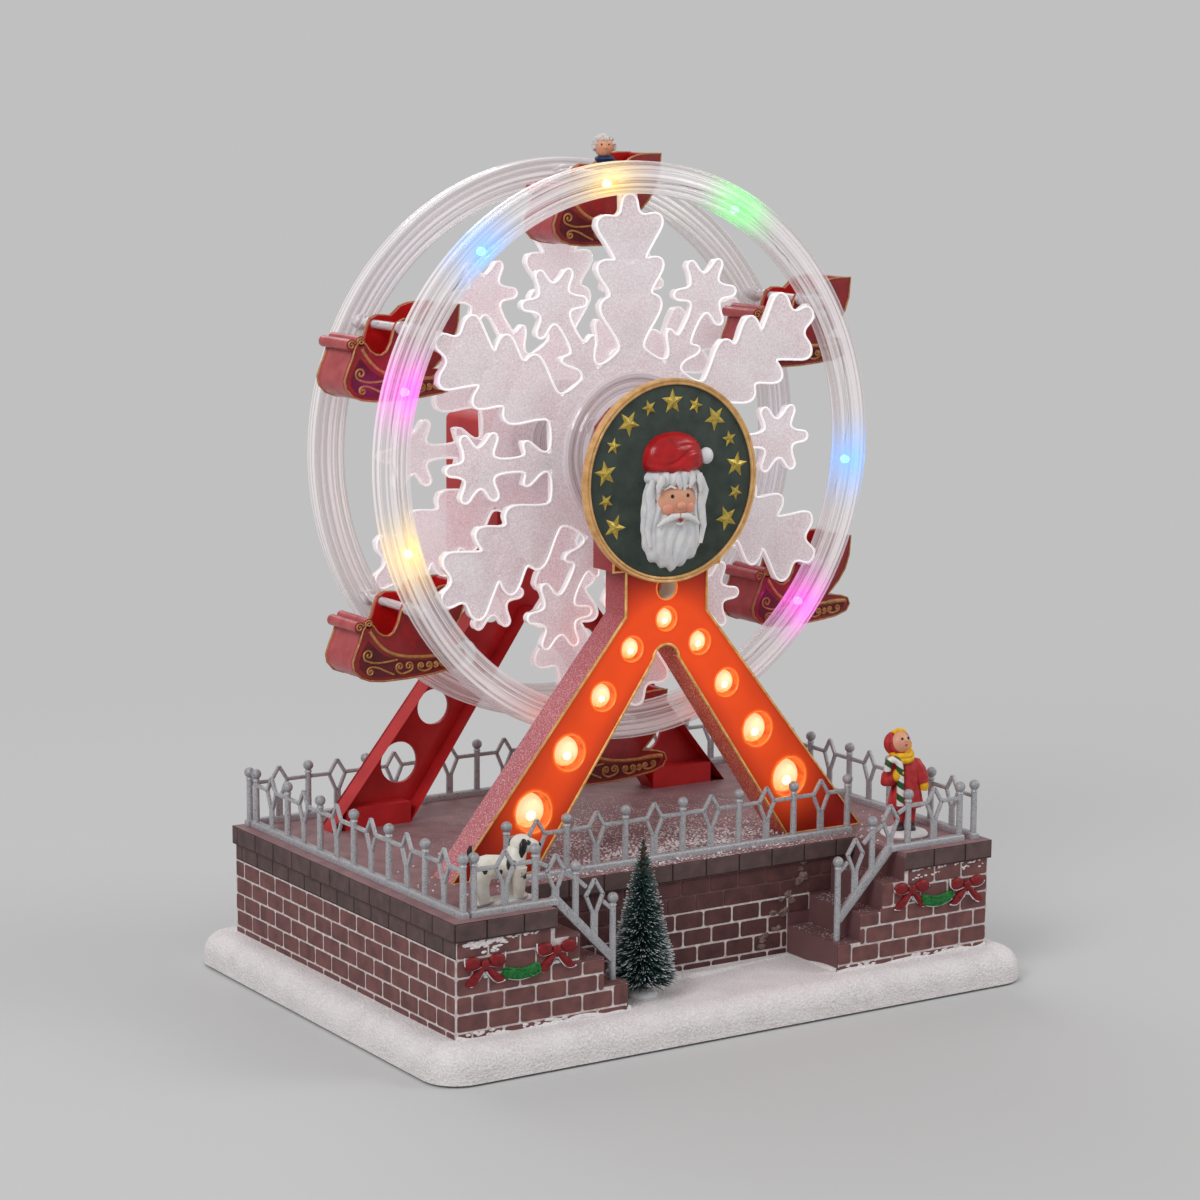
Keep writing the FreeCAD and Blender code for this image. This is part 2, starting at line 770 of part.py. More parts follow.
def frame_bulbs():
    """Each bulb stands on the lower left of its hole's wall and points at the hole's middle."""
    solids = []
    inward = Vector(math.cos(math.radians(45)), 0, math.sin(math.radians(45)))
    across = Vector(-inward.z, 0, inward.x)
    middle = front_frame_front + front_frame_depth / 2
    inscribed = math.cos(math.pi / hole_sides)
    for x, z, radius in hole_places():
        start = Vector(x, middle, z) - inward * (radius * inscribed - seat_gap)
        rings = []
        for along, size in ((0.0, bulb_radius), (0.7 * bulb_length, bulb_radius),
                            (bulb_length, 0.5 * bulb_radius)):
            ring = []
            for index in range(5):
                angle = math.radians(72 * index)
                offset = across * (size * math.cos(angle)) + Vector(0, size * math.sin(angle), 0)
                ring.append(start + inward * along + offset)
            rings.append(ring)
        solids.append(flat_sided(rings))
    return group(solids)


def rear_a_frame():
    """A channel open to the wheel, with light holes in its web and a bearing boss."""
    top = [(neck_half_width, rear_neck_top - housing_corner),
           (neck_half_width - housing_corner, rear_neck_top)]
    outline = frame_outline(top)
    frame = outline.extrude(Vector(0, rear_frame_depth, 0))
    trough = outline.makeOffset2D(-rear_frame_wall, 2)
    trough = trough.extrude(Vector(0, rear_frame_depth - rear_frame_wall, 0))
    foot_block = box(-leg_outer_foot, leg_outer_foot, -1, rear_frame_depth, platform_top,
                     platform_top + foot_block_height)
    frame = frame.cut(trough.cut(foot_block)).translated(Vector(0, rear_frame_front, 0))
    frame = frame.fuse(disc_y(bearing_radius + 2, rear_bearing_face, rear_frame_back, hole_sides))
    holes = [disc_y(radius + rear_hole_extra, rear_frame_front - 1, rear_frame_back + 1, hole_sides, x, z)
             for x, z, radius in hole_places() if x]
    holes.append(axle_hole(rear_bearing_face - 1, rear_frame_back + 1))
    rear_feet = [place for place in frame_screw_places if place[1] > 0]
    return frame.cut(holes + screw_holes(rear_feet, platform_top - 1, platform_top + foot_block_height - 1))


def housing_outline(inset):
    """Motor housing seen from behind, square below and with cut top corners."""
    wide = neck_half_width - inset
    foot = platform_top + housing_foot_rise + inset
    top = rear_neck_top - inset
    side_top = top - housing_corner
    flat_half = wide - housing_corner
    return [(-wide, foot), (wide, foot), (wide, side_top), (flat_half, top), (-flat_half, top),
            (-wide, side_top)]


def motor_housing():
    shell = plate_xz(housing_outline(0), rear_frame_back, housing_back)
    shell = shell.cut(plate_xz(housing_outline(housing_wall), rear_frame_back - 1,
                               housing_back - housing_wall))
    slots = []
    for index in range(vent_count):
        low = axle_height - vent_drop - vent_pitch * index
        slots.append(box(-vent_half_width, vent_half_width, housing_back - housing_wall - 1, housing_back + 1,
                         low, low + vent_height))
    return shell.cut(slots)


def gearmotor():
    """Gearbox on the axle's line and the motor can below, against the housing's back wall."""
    front = axle_back + gearbox_gap
    gearbox = box(-gearbox_half_width, gearbox_half_width, front, front + gearbox_depth,
                  axle_height - gearbox_drop, rear_neck_top - housing_wall - gearbox_headroom)
    can = turned_y([(motor_radius, front + gearbox_depth - 1),
                    (motor_radius, housing_back - housing_wall)], 12, 0, axle_height - motor_drop)
    bore_radius = motor_shaft_radius + shaft_bore_play
    bore = turned_y([(bore_radius, front - 1), (bore_radius, front + shaft_bore_depth)], hole_sides)
    return gearbox.fuse(can).cut(bore)


def motor_shaft():
    return turned_y([(motor_shaft_radius, axle_back - 6.5), (motor_shaft_radius, axle_back + 4.5)],
                    hole_sides)


def slip_ring():
    """Contact drum on the axle that carries the wheel lights' supply."""
    drum = turned_y([(slip_ring_radius, slip_ring_front),
                     (slip_ring_radius, slip_ring_front + slip_ring_length)], 12)
    bore_radius = axle_radius + shaft_bore_play
    bore = turned_y([(bore_radius, slip_ring_front - 1),
                     (bore_radius, slip_ring_front + slip_ring_length + 1)], 12)
    return drum.cut(bore)


def brush_holder():
    top = axle_height - slip_ring_radius - shaft_clearance
    return box(-5, 5, rear_frame_back, slip_ring_front + slip_ring_length, top - 8, top)


# Wheel
def flower_outline(centre):
    """Five open petals and the neck of a flower head, as (along, across) points from the lower side up."""
    petal_reach = 12.4 * flake_unit
    petal_half_width = 2.4 * flake_unit
    valley_reach = 5.4 * flake_unit
    points = []
    for petal in range(-2, 3):
        angle = math.radians(60.0 * petal)
        for side in (-1, 1):
            along = petal_reach * math.cos(angle) - side * petal_half_width * math.sin(angle)
            across = petal_reach * math.sin(angle) + side * petal_half_width * math.cos(angle)
            points.append((centre + along, across))
        if petal < 2:
            x, y = polar(valley_reach, 60.0 * petal + 30)
            points.append((centre + x, y))
    return points


def flake_outline():
    """Six leafy arms that reach the ring and six stems between them, each with a flower head."""
    arm = sized([(87.9, 3.1), (79.8, 3.1), (79.2, 13.6), (66.0, 5.3), (64.2, 13.9), (55.0, 7.6), (50.2, 12.6),
                 (38.0, 5.2)], flake_unit)
    stem = sized([(34.0, 2.3), (41.0, 7.8), (45.0, 2.3), (55.4, 2.3)], flake_unit)
    points = []
    for index in range(arm_count):
        turn = wheel_turn + 30 + 60 * index
        lobes = [(x, -y) for x, y in reversed(arm)] + arm
        between = [(x, -y) for x, y in stem] + flower_outline(61.0 * flake_unit) + stem[::-1]
        for degrees, outline in ((turn, lobes), (turn + 30, between)):
            for x, y in outline:
                points.append(polar(math.hypot(x, y), degrees + math.degrees(math.atan2(y, x))))
    return [(x, axle_height + z) for x, z in points]


def flake_plate(front):
    return plate_xz(flake_outline(), front, front + flake_thickness)


def front_snowflake():
    """Clear moulding: snowflake, stepped hub disc and the neck that runs against the front bearing."""
    front = front_flake_front
    back = front + flake_thickness
    disc = disc_y(hub_disc_radius, front - hub_disc_proud, back)
    step = disc_y(hub_step_radius, front - hub_step_proud, front)
    neck = disc_y(bearing_radius, front_bearing_face + running_gap, front, hole_sides)
    return flake_plate(front).fuse([disc, step, neck]).cut(axle_hole(front_frame_back, back + 1))


def rear_snowflake():
    """Clear moulding: snowflake, the open drum behind it and the barrel that reaches forward."""
    front = rear_flake_front
    drum = ring_y(drum_radius, drum_radius - drum_wall, front + 1, drum_back, hub_sides)
    barrel = disc_y(barrel_radius, front_flake_front + flake_thickness, front + 1, hub_sides // 2)
    core = disc_y(core_radius, front, rear_bearing_face - running_gap, hole_sides)
    moulding = flake_plate(front).fuse([drum, barrel, core])
    return moulding.cut(axle_hole(front_flake_front, rear_bearing_face))


def drive_disc():
    """Dark disc that closes the clear drum and locks the moulding to the axle."""
    return ring_y(drum_radius - drum_wall - 0.1, core_radius + 0.1, drum_back - 5, drum_back - 1,
                  hub_sides // 2)


def pin_places():
    return [polar(pin_circle, wheel_turn + 30 + 60 * index) for index in range(arm_count)]


def front_ring():
    """Clear channel, closed in front and open behind for its lights."""
    band = ring_y(ring_outer, ring_inner, front_ring_front, front_ring_back, ring_sides)
    return band.cut(ring_y(ring_outer - ring_wall, ring_inner + ring_wall, front_ring_front + ring_wall,
                           front_ring_back + 1, ring_sides))


def rear_ring():
    """Clear band with a socket for each gondola pin."""
    socket = around(pin_radius + 0.03)
    ends = [(socket, rear_ring_front - 1), (socket, rear_ring_front + ring_depth / 2 + 0.1)]
    sockets = [turned_y(ends, 6, x, axle_height + z) for x, z in pin_places()]
    return ring_y(ring_outer, ring_inner, rear_ring_front, rear_ring_back, ring_sides).cut(sockets)


def gondola_pins():
    """Clear round rods, each from the front ring into its socket in the rear ring."""
    start = front_ring_front + ring_wall
    end = rear_ring_front + ring_depth / 2
    return group([rod_y(pin_radius, start, end, x, axle_height + z) for x, z in pin_places()])


def ring_leds():
    solids = []
    floor = front_ring_front + ring_wall
    for index in range(led_count):
        degrees = led_first_angle + led_pitch * index
        x, z = polar(led_circle, degrees)
        led = box(-led_half_length, led_half_length, floor, floor + led_height, -led_half_width,
                  led_half_width)
        led.rotate(Vector(0, 0, 0), Vector(0, 1, 0), 90 - degrees)
        solids.append(led.translated(Vector(x, 0, axle_height + z)))
    return group(solids)


def axle():
    """Hollow, so that the lights' supply can run through it."""
    bore = disc_y(axle_bore, axle_front - 1, axle_back + 1, hole_sides)
    return rod_y(axle_radius, axle_front, axle_back).cut(bore)


# Sleigh: side outline from its pin, with the prow on the left
def sleigh_body():
    """One sleigh about its own pin: two side panels, curved prow, floor, bench and flared back."""
    hull = sized([(-17.6, -6.0), (-18.6, -10.5), (-21.2, -16.5), (-20.6, -20.4), (-17.4, -22.8),
                  (-11.0, -23.9), (8.0, -23.0), (20.5, -21.0), (22.6, -18.2), (21.2, -15.6), (12.4, -13.9),
                  (18.6, -8.0), (22.0, -1.0), (22.6, 7.0)], sleigh_unit)
    rim = sized([(12.0, 6.4), (6.8, 2.6), (1.2, 2.9), (-1.8, 0.8), (-4.2, -5.2), (-7.4, -8.8), (-11.5, -7.2),
           (-13.2, -4.4), (-15.2, -2.8)], sleigh_unit)
    inner_prow = [(-15.4, 8.0), (-16.8, -9.8), (-19.4, -17.0), (-17.6, -21.0), (-11.0, -22.3)]
    bench = [(3.0, -21.8), (3.0, -13.2), (11.8, -13.2)]
    inner_back = [(17.0, -7.2), (20.2, -1.0), (20.9, 8.0)]
    room = sized(inner_prow + bench + inner_back, sleigh_unit)
    body = plate_xz(hull + rim, sleigh_front, sleigh_back)
    body = body.cut(plate_xz(room, sleigh_front + sleigh_wall, sleigh_back - sleigh_wall))
    scroll = disc_y(sleigh_scroll_radius, sleigh_front, sleigh_back, 6, -18.0 * sleigh_unit,
                    -5.2 * sleigh_unit)
    bore = disc_y(around(pin_radius + pin_play), 0, sleigh_back + 1, 6, 0, 0)
    return body.fuse(scroll).cut(bore)


def rider_body(cap):
    """A seated rider behind the pin, with a brimmed cap or bare curls."""
    middle = (sleigh_front + sleigh_back) / 2
    unit = sleigh_unit
    seat = -13.0 * unit

    def part_of(profile, along):
        return turned(sized(profile, unit), 6, along * unit, middle)

    body = part_of([(3.6, -13.0), (4.3, -8.0), (2.2, 4.0)], 7.4)
    arms = box(3.2 * unit, 7 * unit, middle - 4.8 * unit, middle + 4.8 * unit, seat + 7 * unit,
               seat + 10 * unit)
    head = part_of([(2.0, 4.0), (3.9, 7.0), (3.9, 10.6), (1.8, 13.6)], 5.4)
    rider = body.fuse([arms, head])
    if cap:
        rider = rider.fuse(part_of([(4.7, 9.8), (4.4, 12.2), (1.8, 14.6)], 5.6))
    return rider


# Medallion on the front frame
def medallion_disc():
    disc = disc_y(medal_radius, medal_front, front_frame_front, medal_sides, 0, medal_height)
    field = disc_y(medal_radius - medal_rim, medal_front - 1, medal_front + medal_recess, medal_sides, 0,
                   medal_height)
    return disc.cut(field)


def relief(points, centre, depth):
    """A raised form on the medallion: full outline at the field, drawn in towards its centre as it rises."""
    seat = medal_front + medal_recess
    rings = []
    for rise, shrink in ((0.0, 1.0), (0.6, 0.9), (1.0, 0.5)):
        drawn = sized([(centre[0] + (x - centre[0]) * shrink, centre[1] + (z - centre[1]) * shrink)
                       for x, z in points], medal_unit)
        rings.append([Vector(x, seat - depth * rise * medal_unit, medal_height + z) for x, z in drawn])
    return flat_sided(rings)


def medallion_head():
    """Traditional bearded winter figure in a cap, plain and generic."""
    unit = medal_unit
    seat = medal_front + medal_recess
    beard = [(-12.4, -13.0), (-12.0, -23.4), (-5.6, -28.0), (0.6, -30.6), (6.6, -27.4), (12.0, -22.0),
             (12.2, -11.0), (9.4, 2.0), (-9.6, 2.0)]
    face = [(-8.8, 0.0), (-7.4, -8.0), (7.6, -8.0), (8.8, 0.0), (7.0, 5.6), (-7.4, 5.6)]
    cap = [(-12.4, 1.0), (-12.0, 8.6), (-6.6, 14.8), (1.0, 16.8), (7.2, 14.2), (11.6, 8.0), (9.8, 3.6),
           (0.0, 5.4)]
    nose = turned_y([(1.2 * unit, seat - 7.4 * unit), (1.9 * unit, seat - 4.8 * unit)], 6,
                    0.4 * unit, medal_height - 4.6 * unit)
    pompom = turned_y([(1.5 * unit, seat - 5.2 * unit), (2.7 * unit, seat - 3.4 * unit),
                       (2.0 * unit, seat)], 6, 11.6 * unit, medal_height + 7.6 * unit)
    forms = [relief(face, (0.0, -1.0), 5.6), relief(cap, (-0.6, 8.0), 5.4), nose, pompom]
    return relief(beard, (0.0, -12.0), 4.8).fuse(forms)


# Figures and trimmings
def figure_form(unit, middle_x, middle_y, floor):
    """Gives a function that turns a (radius, height) profile into part of a figure at its place."""
    def form(profile, sides, along=0.0, across=0.0, squash=1.0):
        rings = [(radius * unit, floor + height * unit) for radius, height in profile]
        return turned(rings, sides, middle_x + along * unit, middle_y + across * unit, squash)
    return form


def tree():
    form = figure_form(tree_unit, tree_x, tree_y, base_top)
    foot = form([(5.0, 0), (4.6, 1.2), (1.2, 1.6), (1.2, 7)], 8)
    tiers = [form([(0.8 * wide, low), (wide, low + 2.5), (narrow, high)], 10)
             for low, high, wide, narrow in ((5, 23, 13.0, 7.0), (19, 36, 10.6, 5.0), (32, 47, 7.4, 3.0),
                                             (43, 55, 4.4, 0.6))]
    return foot.fuse(tiers)


def child_figure():
    """Child in a belted coat with a scarf and a striped stick, on a round snow foot."""
    unit = child_unit
    form = figure_form(unit, child_x, child_y, platform_top)
    foot = form([(8.4, 0), (7.4, 1.8)], 8, 0, 0, 0.8)
    legs = [form([(2.3, 1), (2.1, 12)], 4, side * 2.4) for side in (-1, 1)]
    coat = form([(6.6, 9.6), (4.3, 17.5), (4.7, 23), (2.6, 26.5)], 7, 0, 0, 0.82)
    sleeves = [leaned(turned([(2.2 * unit, 0), (2.0 * unit, 9 * unit)], 4), Vector(0, 1, 0), 180 - side * 38,
                      Vector(child_x + side * 3.4 * unit, child_y - 0.8 * unit, platform_top + 23.6 * unit))
               for side in (-1, 1)]
    scarf = form([(3.4, 24.6), (3.9, 26), (3.0, 27.6)], 7)
    head = form([(2.6, 26), (4.4, 29), (4.4, 32), (3.4, 35)], 7)
    hat = form([(4.8, 32), (4.5, 34.5), (1.2, 39)], 7)
    stick = form([(0.9, 8), (0.9, 24)], 4, -7.2, -2.2)
    return foot.fuse(legs + [coat] + sleeves + [scarf, head, hat, stick])


def dog():
    """Spotted dog on an oblong snow foot, nose to the right."""
    unit = dog_unit
    form = figure_form(unit, dog_x, dog_y, platform_top)

    def leaning(profile, sides, degrees, along, height):
        foot_point = Vector(dog_x + along * unit, dog_y, platform_top + height * unit)
        return leaned(turned(sized(profile, unit), sides), Vector(0, 1, 0), degrees, foot_point)

    foot = box(dog_x - 11 * unit, dog_x + 11 * unit, dog_y - 4.5 * unit, dog_y + 4.5 * unit,
               platform_top, platform_top + 1.6 * unit)
    legs = [form([(1.5, 1), (1.7, 11)], 4, along, across) for along in (-7.4, 6.2) for across in (-2.5, 2.5)]
    body = leaning([(2.8, 0), (4.3, 3), (4.0, 9), (4.6, 15), (3.0, 18.5)], 7, 90, -9.4, 12.4)
    neck = leaning([(3.2, 0), (2.6, 7.5)], 5, 28, 6.0, 13.6)
    head = leaning([(2.2, 0), (3.4, 2.2), (3.2, 5.5), (1.4, 10)], 6, 100, 6.4, 21.6)
    tail = leaning([(1.0, 0), (0.6, 8)], 4, -48, -8.8, 14.6)
    return foot.fuse(legs + [body, neck, head, tail])


def bow(x):
    """Ribbon bow with two loops and two tails, flat against the wall."""
    half = [(0.0, 1.4), (6.2, 4.4), (8.0, 2.2), (7.0, -1.6), (2.6, -0.8), (7.6, -5.6), (5.2, -7.0),
            (0.0, -1.2)]
    points = sized(half + [(-px, pz) for px, pz in reversed(half[1:-1])], bow_unit)
    return plate_xz([(x + px, bow_height + pz) for px, pz in points], -half_depth - bow_thickness,
                    -half_depth)


def bows(side):
    """Two bows with a garland that hangs between them."""
    middle = side * bow_x
    strand = sized([(-6.6, -0.4), (0.0, -2.6), (6.6, -0.4), (6.2, -4.0), (0.0, -6.2), (-6.2, -4.0)], bow_unit)
    garland = plate_xz([(middle + x, bow_height + z) for x, z in strand], -half_depth - 1.6 * bow_thickness,
                       -half_depth)
    return group([bow(middle - bow_spread), bow(middle + bow_spread), garland])


save("snow_base", snow_base())
save("base_plate", base_plate())
save("base_screws", screws_up(base_screw_places, plate_top - screw_seat_depth,
                               base_top + screw_bite - plate_top + screw_seat_depth))
save("foot_pads", group(prisms(pad_places(), pad_radius, 0, pad_proud, 8)))
save("battery_box", battery_box())
save("battery_cells", battery_cells())
save("battery_contacts", battery_contacts())
save("battery_door", battery_door())
save("battery_door_screw", screws_up([door_screw_place], plate_top - screw_seat_depth, 5.0))
save("circuit_board", circuit_board())
save("platform_shell", platform_shell())
save("dc_jack", dc_jack())
save("switch_housing", switch_housing())
save("switch_knob", switch_knob())
save("fence_left", side_fence(left_fence_inset - half_length))
save("fence_right", side_fence(half_length - right_fence_inset))
save("fence_rear", rear_fence())
save("fence_centre", centre_fence())
save("fence_right_wing", wing_fence())
save("fence_left_wing", wing_fence().mirror(Vector(0, 0, 0), Vector(1, 0, 0)))
save("front_a_frame", front_a_frame())
save("frame_bulbs", frame_bulbs())
save("rear_a_frame", rear_a_frame())
save("frame_screws", screws_up(frame_screw_places, platform_top - platform_wall, frame_screw_length))
save("motor_housing", motor_housing())
save("gearmotor", gearmotor())
save("brush_holder", brush_holder())
save("axle", axle())
save("motor_shaft", motor_shaft())
save("slip_ring", slip_ring())
save("drive_disc", drive_disc())
save("front_snowflake", front_snowflake())
save("rear_snowflake", rear_snowflake())
save("front_ring", front_ring())
save("rear_ring", rear_ring())
save("ring_leds", ring_leds())
save("gondola_pins", gondola_pins())
sleigh = sleigh_body()
riders = {2: ("rider_top", False), 6: ("rider_right", True)}
for number, (pin_x, pin_z) in enumerate(pin_places(), start=1):
    pin = Vector(pin_x, 0, axle_height + pin_z)
    save("gondola_%d" % number, sleigh.translated(pin))
    if number in riders:
        rider_name, rider_cap = riders[number]
        save(rider_name, rider_body(rider_cap).translated(pin))
save("medallion_disc", medallion_disc())
save("medallion_head", medallion_head())
save("tree", tree())
save("child_figure", child_figure())
save("dog", dog())
save("bows_left", bows(-1))
save("bows_right", bows(1))
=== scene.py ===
import math
import random
import bpy
import bmesh
from mathutils import Matrix, Vector


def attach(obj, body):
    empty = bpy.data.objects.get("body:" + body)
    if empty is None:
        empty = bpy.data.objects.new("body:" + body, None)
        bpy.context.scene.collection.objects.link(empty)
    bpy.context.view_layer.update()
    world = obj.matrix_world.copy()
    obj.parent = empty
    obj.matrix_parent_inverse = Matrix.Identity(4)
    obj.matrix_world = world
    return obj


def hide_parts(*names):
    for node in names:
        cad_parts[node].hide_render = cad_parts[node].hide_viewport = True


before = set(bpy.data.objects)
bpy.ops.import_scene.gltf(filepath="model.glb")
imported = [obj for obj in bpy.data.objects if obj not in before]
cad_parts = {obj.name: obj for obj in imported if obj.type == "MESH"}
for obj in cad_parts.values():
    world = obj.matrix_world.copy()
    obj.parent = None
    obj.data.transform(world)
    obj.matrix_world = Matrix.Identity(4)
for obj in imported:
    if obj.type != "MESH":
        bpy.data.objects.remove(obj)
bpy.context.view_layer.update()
random.seed(24)
mm = 0.001

# Shared places, in millimetres as in the source
village = {
    "snowTop": 12.0,
    "floor": 50.1,
    "axle": 185.8,
    "halfLength": 107.6,
    "halfDepth": 77.0,
    "recess": -48.0,
    "wing": 70.5,
    "stair": 42.6,
    "wheelTurn": 1.5,
    "wheelPin": 94.0,
}


# A socket that can be used in sums. Each sum adds a Math node
class Tap:
    def __init__(self, finish, socket):
        self.finish = finish
        self.socket = socket

    def maths(self, operation, first, second=None):
        values = {0: first} if second is None else {0: first, 1: second}
        return self.finish.node("Math", {"operation": operation}, values)

    def __add__(self, other):
        return self.maths("ADD", self, other)

    def __sub__(self, other):
        return self.maths("SUBTRACT", self, other)

    def __rsub__(self, other):
        return self.maths("SUBTRACT", other, self)

    def __mul__(self, other):
        return self.maths("MULTIPLY", self, other)

    def __truediv__(self, other):
        return self.maths("DIVIDE", self, other)

    def __pow__(self, other):
        return self.maths("POWER", self, other)

    def __gt__(self, other):
        return self.maths("GREATER_THAN", self, other)

    def __lt__(self, other):
        return self.maths("LESS_THAN", self, other)

    __radd__ = __add__
    __rmul__ = __mul__

    def clamped(self):
        return self.finish.node("Clamp", {}, {0: self})


# One material, built node by node
class Finish:
    def __init__(self, name, owner=None):
        self.material = owner or bpy.data.materials.new(name)
        self.material.use_nodes = True
        self.tree = self.material.node_tree
        self.tree.nodes.clear()

    def node(self, kind, settings, values, output=0):
        made = self.tree.nodes.new("ShaderNode" + kind)
        for key, setting in settings.items():
            setattr(made, key, setting)
        for key, value in values.items():
            socket = made.inputs[key]
            if isinstance(value, Tap):
                self.tree.links.new(value.socket, socket)
            else:
                socket.default_value = (*value, 1.0) if socket.type == "RGBA" else value
        return Tap(self, made.outputs[output])

    def coordinates(self):
        return self.node("TexCoord", {}, {}, "Object")

    def vector(self, operation, first, second=(0, 0, 0), output="Vector"):
        return self.node("VectorMath", {"operation": operation}, {0: first, 1: second}, output)

    # One axis of where a point lies, or of where its surface faces
    def place(self, axis, at=None):
        return self.node("SeparateXYZ", {}, {0: at or self.coordinates()}, axis)

    def facing(self, axis):
        return self.place(axis, self.node("NewGeometry", {}, {}, "Normal"))

    def noise(self, size, detail=2.0, at=None, rough=0.5):
        return self.node("TexNoise", {}, {"Vector": at or self.coordinates(), "Scale": 1 / (size * mm),
                                          "Detail": detail, "Roughness": rough})

    def cells(self, size):
        return self.node("TexVoronoi", {}, {"Vector": self.coordinates(), "Scale": 1 / (size * mm)}, "Distance")

    def ramp(self, value, low, high, bottom=0.0, top=1.0):
        return self.node("MapRange", {}, {0: value, 1: low, 2: high, 3: bottom, 4: top})

    def blend(self, factor, first, second):
        return self.node("Mix", {"data_type": "RGBA"}, {0: factor, 6: first, 7: second}, 2)

    def distance(self, point, at=None):
        return self.vector("DISTANCE", at or self.coordinates(), point, "Value")

    def bump(self, height, strength, depth):
        return self.node("Bump", {}, {"Height": height, "Strength": strength, "Distance": depth * mm})

    # One where the camera, a mirror or a glass looks at the surface, and zero where light bounces off it
    def looked(self):
        rays = [self.node("LightPath", {}, {}, "Is %s Ray" % kind) for kind in ("Camera", "Glossy", "Transmission")]
        return (rays[0] + rays[1] + rays[2]).clamped()

    def ends(self, shader, kind="Material"):
        output = self.tree.nodes.new("ShaderNodeOutput" + kind)
        self.tree.links.new(shader.socket, output.inputs["Surface"])
        return self.material

    def done(self, values):
        return self.ends(self.node("BsdfPrincipled", {}, values))


# Paint or moulded plastic: two shades in slow patches, a fine grain in the surface, worn roughness
def painted(name, shade, other, rough, grain, strength, patch, metal=0.0, depth=0.12):
    finish = Finish(name)
    patches = finish.ramp(finish.noise(patch, 4.0), 0.35, 0.68)
    fine = finish.noise(grain, 2.0)
    return finish.done({
        "Base Color": finish.blend(patches, shade, other),
        "Roughness": finish.ramp(fine, 0.3, 0.7, rough - 0.08, rough + 0.1),
        "Metallic": metal,
        "Normal": finish.bump(fine, strength, depth),
        "Specular IOR Level": 0.3,
    })


# Ends a piece: millimetres to metres, normals outwards, then material, body and replaced nodes
def finished(bm, name, material, sharp, nodes=(), body="stand"):
    bmesh.ops.remove_doubles(bm, verts=bm.verts[:], dist=0.002)
    bmesh.ops.recalc_face_normals(bm, faces=bm.faces[:])
    bmesh.ops.scale(bm, vec=(mm, mm, mm), verts=bm.verts[:])
    for face in bm.faces:
        face.smooth = True
    mesh = bpy.data.meshes.new(name)
    bm.to_mesh(mesh)
    bm.free()
    mesh.set_sharp_from_angle(angle=math.radians(sharp))
    mesh.materials.append(material)
    piece = bpy.data.objects.new(name, mesh)
    bpy.context.scene.collection.objects.link(piece)
    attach(piece, body)
    if nodes:
        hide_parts(*nodes)
    return piece


# Bevels edges, or corners
def rounded(bm, geometry, offset, segments, clamp=False, kind="EDGES"):
    bmesh.ops.bevel(bm, geom=geometry, offset=offset, segments=segments, profile=0.5, affect=kind, material=-1,
                    clamp_overlap=clamp)


# Extrudes faces and moves what is new
def pushed(bm, faces, move):
    made = bmesh.ops.extrude_face_region(bm, geom=faces)["geom"]
    bmesh.ops.translate(bm, vec=move, verts=[item for item in made if isinstance(item, bmesh.types.BMVert)])


# Moves the geometry of one bmesh into another
def addMesh(bm, other):
    mesh = bpy.data.meshes.new("part")
    other.to_mesh(mesh)
    other.free()
    bm.from_mesh(mesh)
    bpy.data.meshes.remove(mesh)


# A new cube stretched between two corners
def block(bm, low, high):
    middle = [(a + b) / 2 for a, b in zip(low, high)]
    size = [b - a for a, b in zip(low, high)]
    matrix = Matrix.Translation(middle) @ Matrix.Diagonal((*size, 1.0))
    return bmesh.ops.create_cube(bm, size=1.0, matrix=matrix)["verts"]


def ball(bm, centre, radius, squash, detail):
    matrix = Matrix.Translation(centre) @ Matrix.Diagonal((*squash, 1.0))
    return bmesh.ops.create_icosphere(bm, subdivisions=detail, radius=radius, matrix=matrix)["verts"]


def cone(bm, start, end, radiusStart, radiusEnd, sides):
    line = Vector(end) - Vector(start)
    turn = line.to_track_quat("Z", "Y").to_matrix().to_4x4()
    matrix = Matrix.Translation((Vector(start) + Vector(end)) / 2) @ turn
    return bmesh.ops.create_cone(bm, cap_ends=True, segments=sides, radius1=radiusStart, radius2=radiusEnd,
                                 depth=line.length, matrix=matrix)["verts"]


# Spins a chain of (radius, height) points round a line along Y or Z
def spun(bm, chain, centre, along, steps, closed=False):
    points = [(r, 0, h) if along == "Z" else (r, h, 0) for r, h in chain]
    verts = [bm.verts.new(Vector(centre) + Vector(point)) for point in points]
    edges = [bm.edges.new(pair) for pair in zip(verts[:-1], verts[1:])]
    if closed:
        edges.append(bm.edges.new((verts[-1], verts[0])))
    axis = (0, 0, 1) if along == "Z" else (0, 1, 0)
    bmesh.ops.spin(bm, geom=verts + edges, cent=centre, axis=axis, angle=2 * math.pi, steps=steps, use_merge=True)
    bmesh.ops.remove_doubles(bm, verts=bm.verts[:], dist=0.001)


# A flat outline of (x, z) points, with rounded corners if soften is given, as edges alone
def rim(outline, y, soften):
    bm = bmesh.new()
    corners = [bm.verts.new((x, y, z)) for x, z in outline]
    face = bm.faces.new(corners)
    if soften:
        rounded(bm, corners, soften, 3, True, "VERTICES")
        face = next(f for f in bm.faces if len(f.verts) > len(outline))
    bm.faces.remove(face)
    return bm


def roundHole(bm, x, z, radius, y):
    made = bmesh.ops.create_circle(bm, segments=28, radius=radius,
                                   matrix=Matrix.Translation((x, y, z)) @ Matrix.Rotation(math.pi / 2, 4, "X"))
    return list({edge for vert in made["verts"] for edge in vert.link_edges})


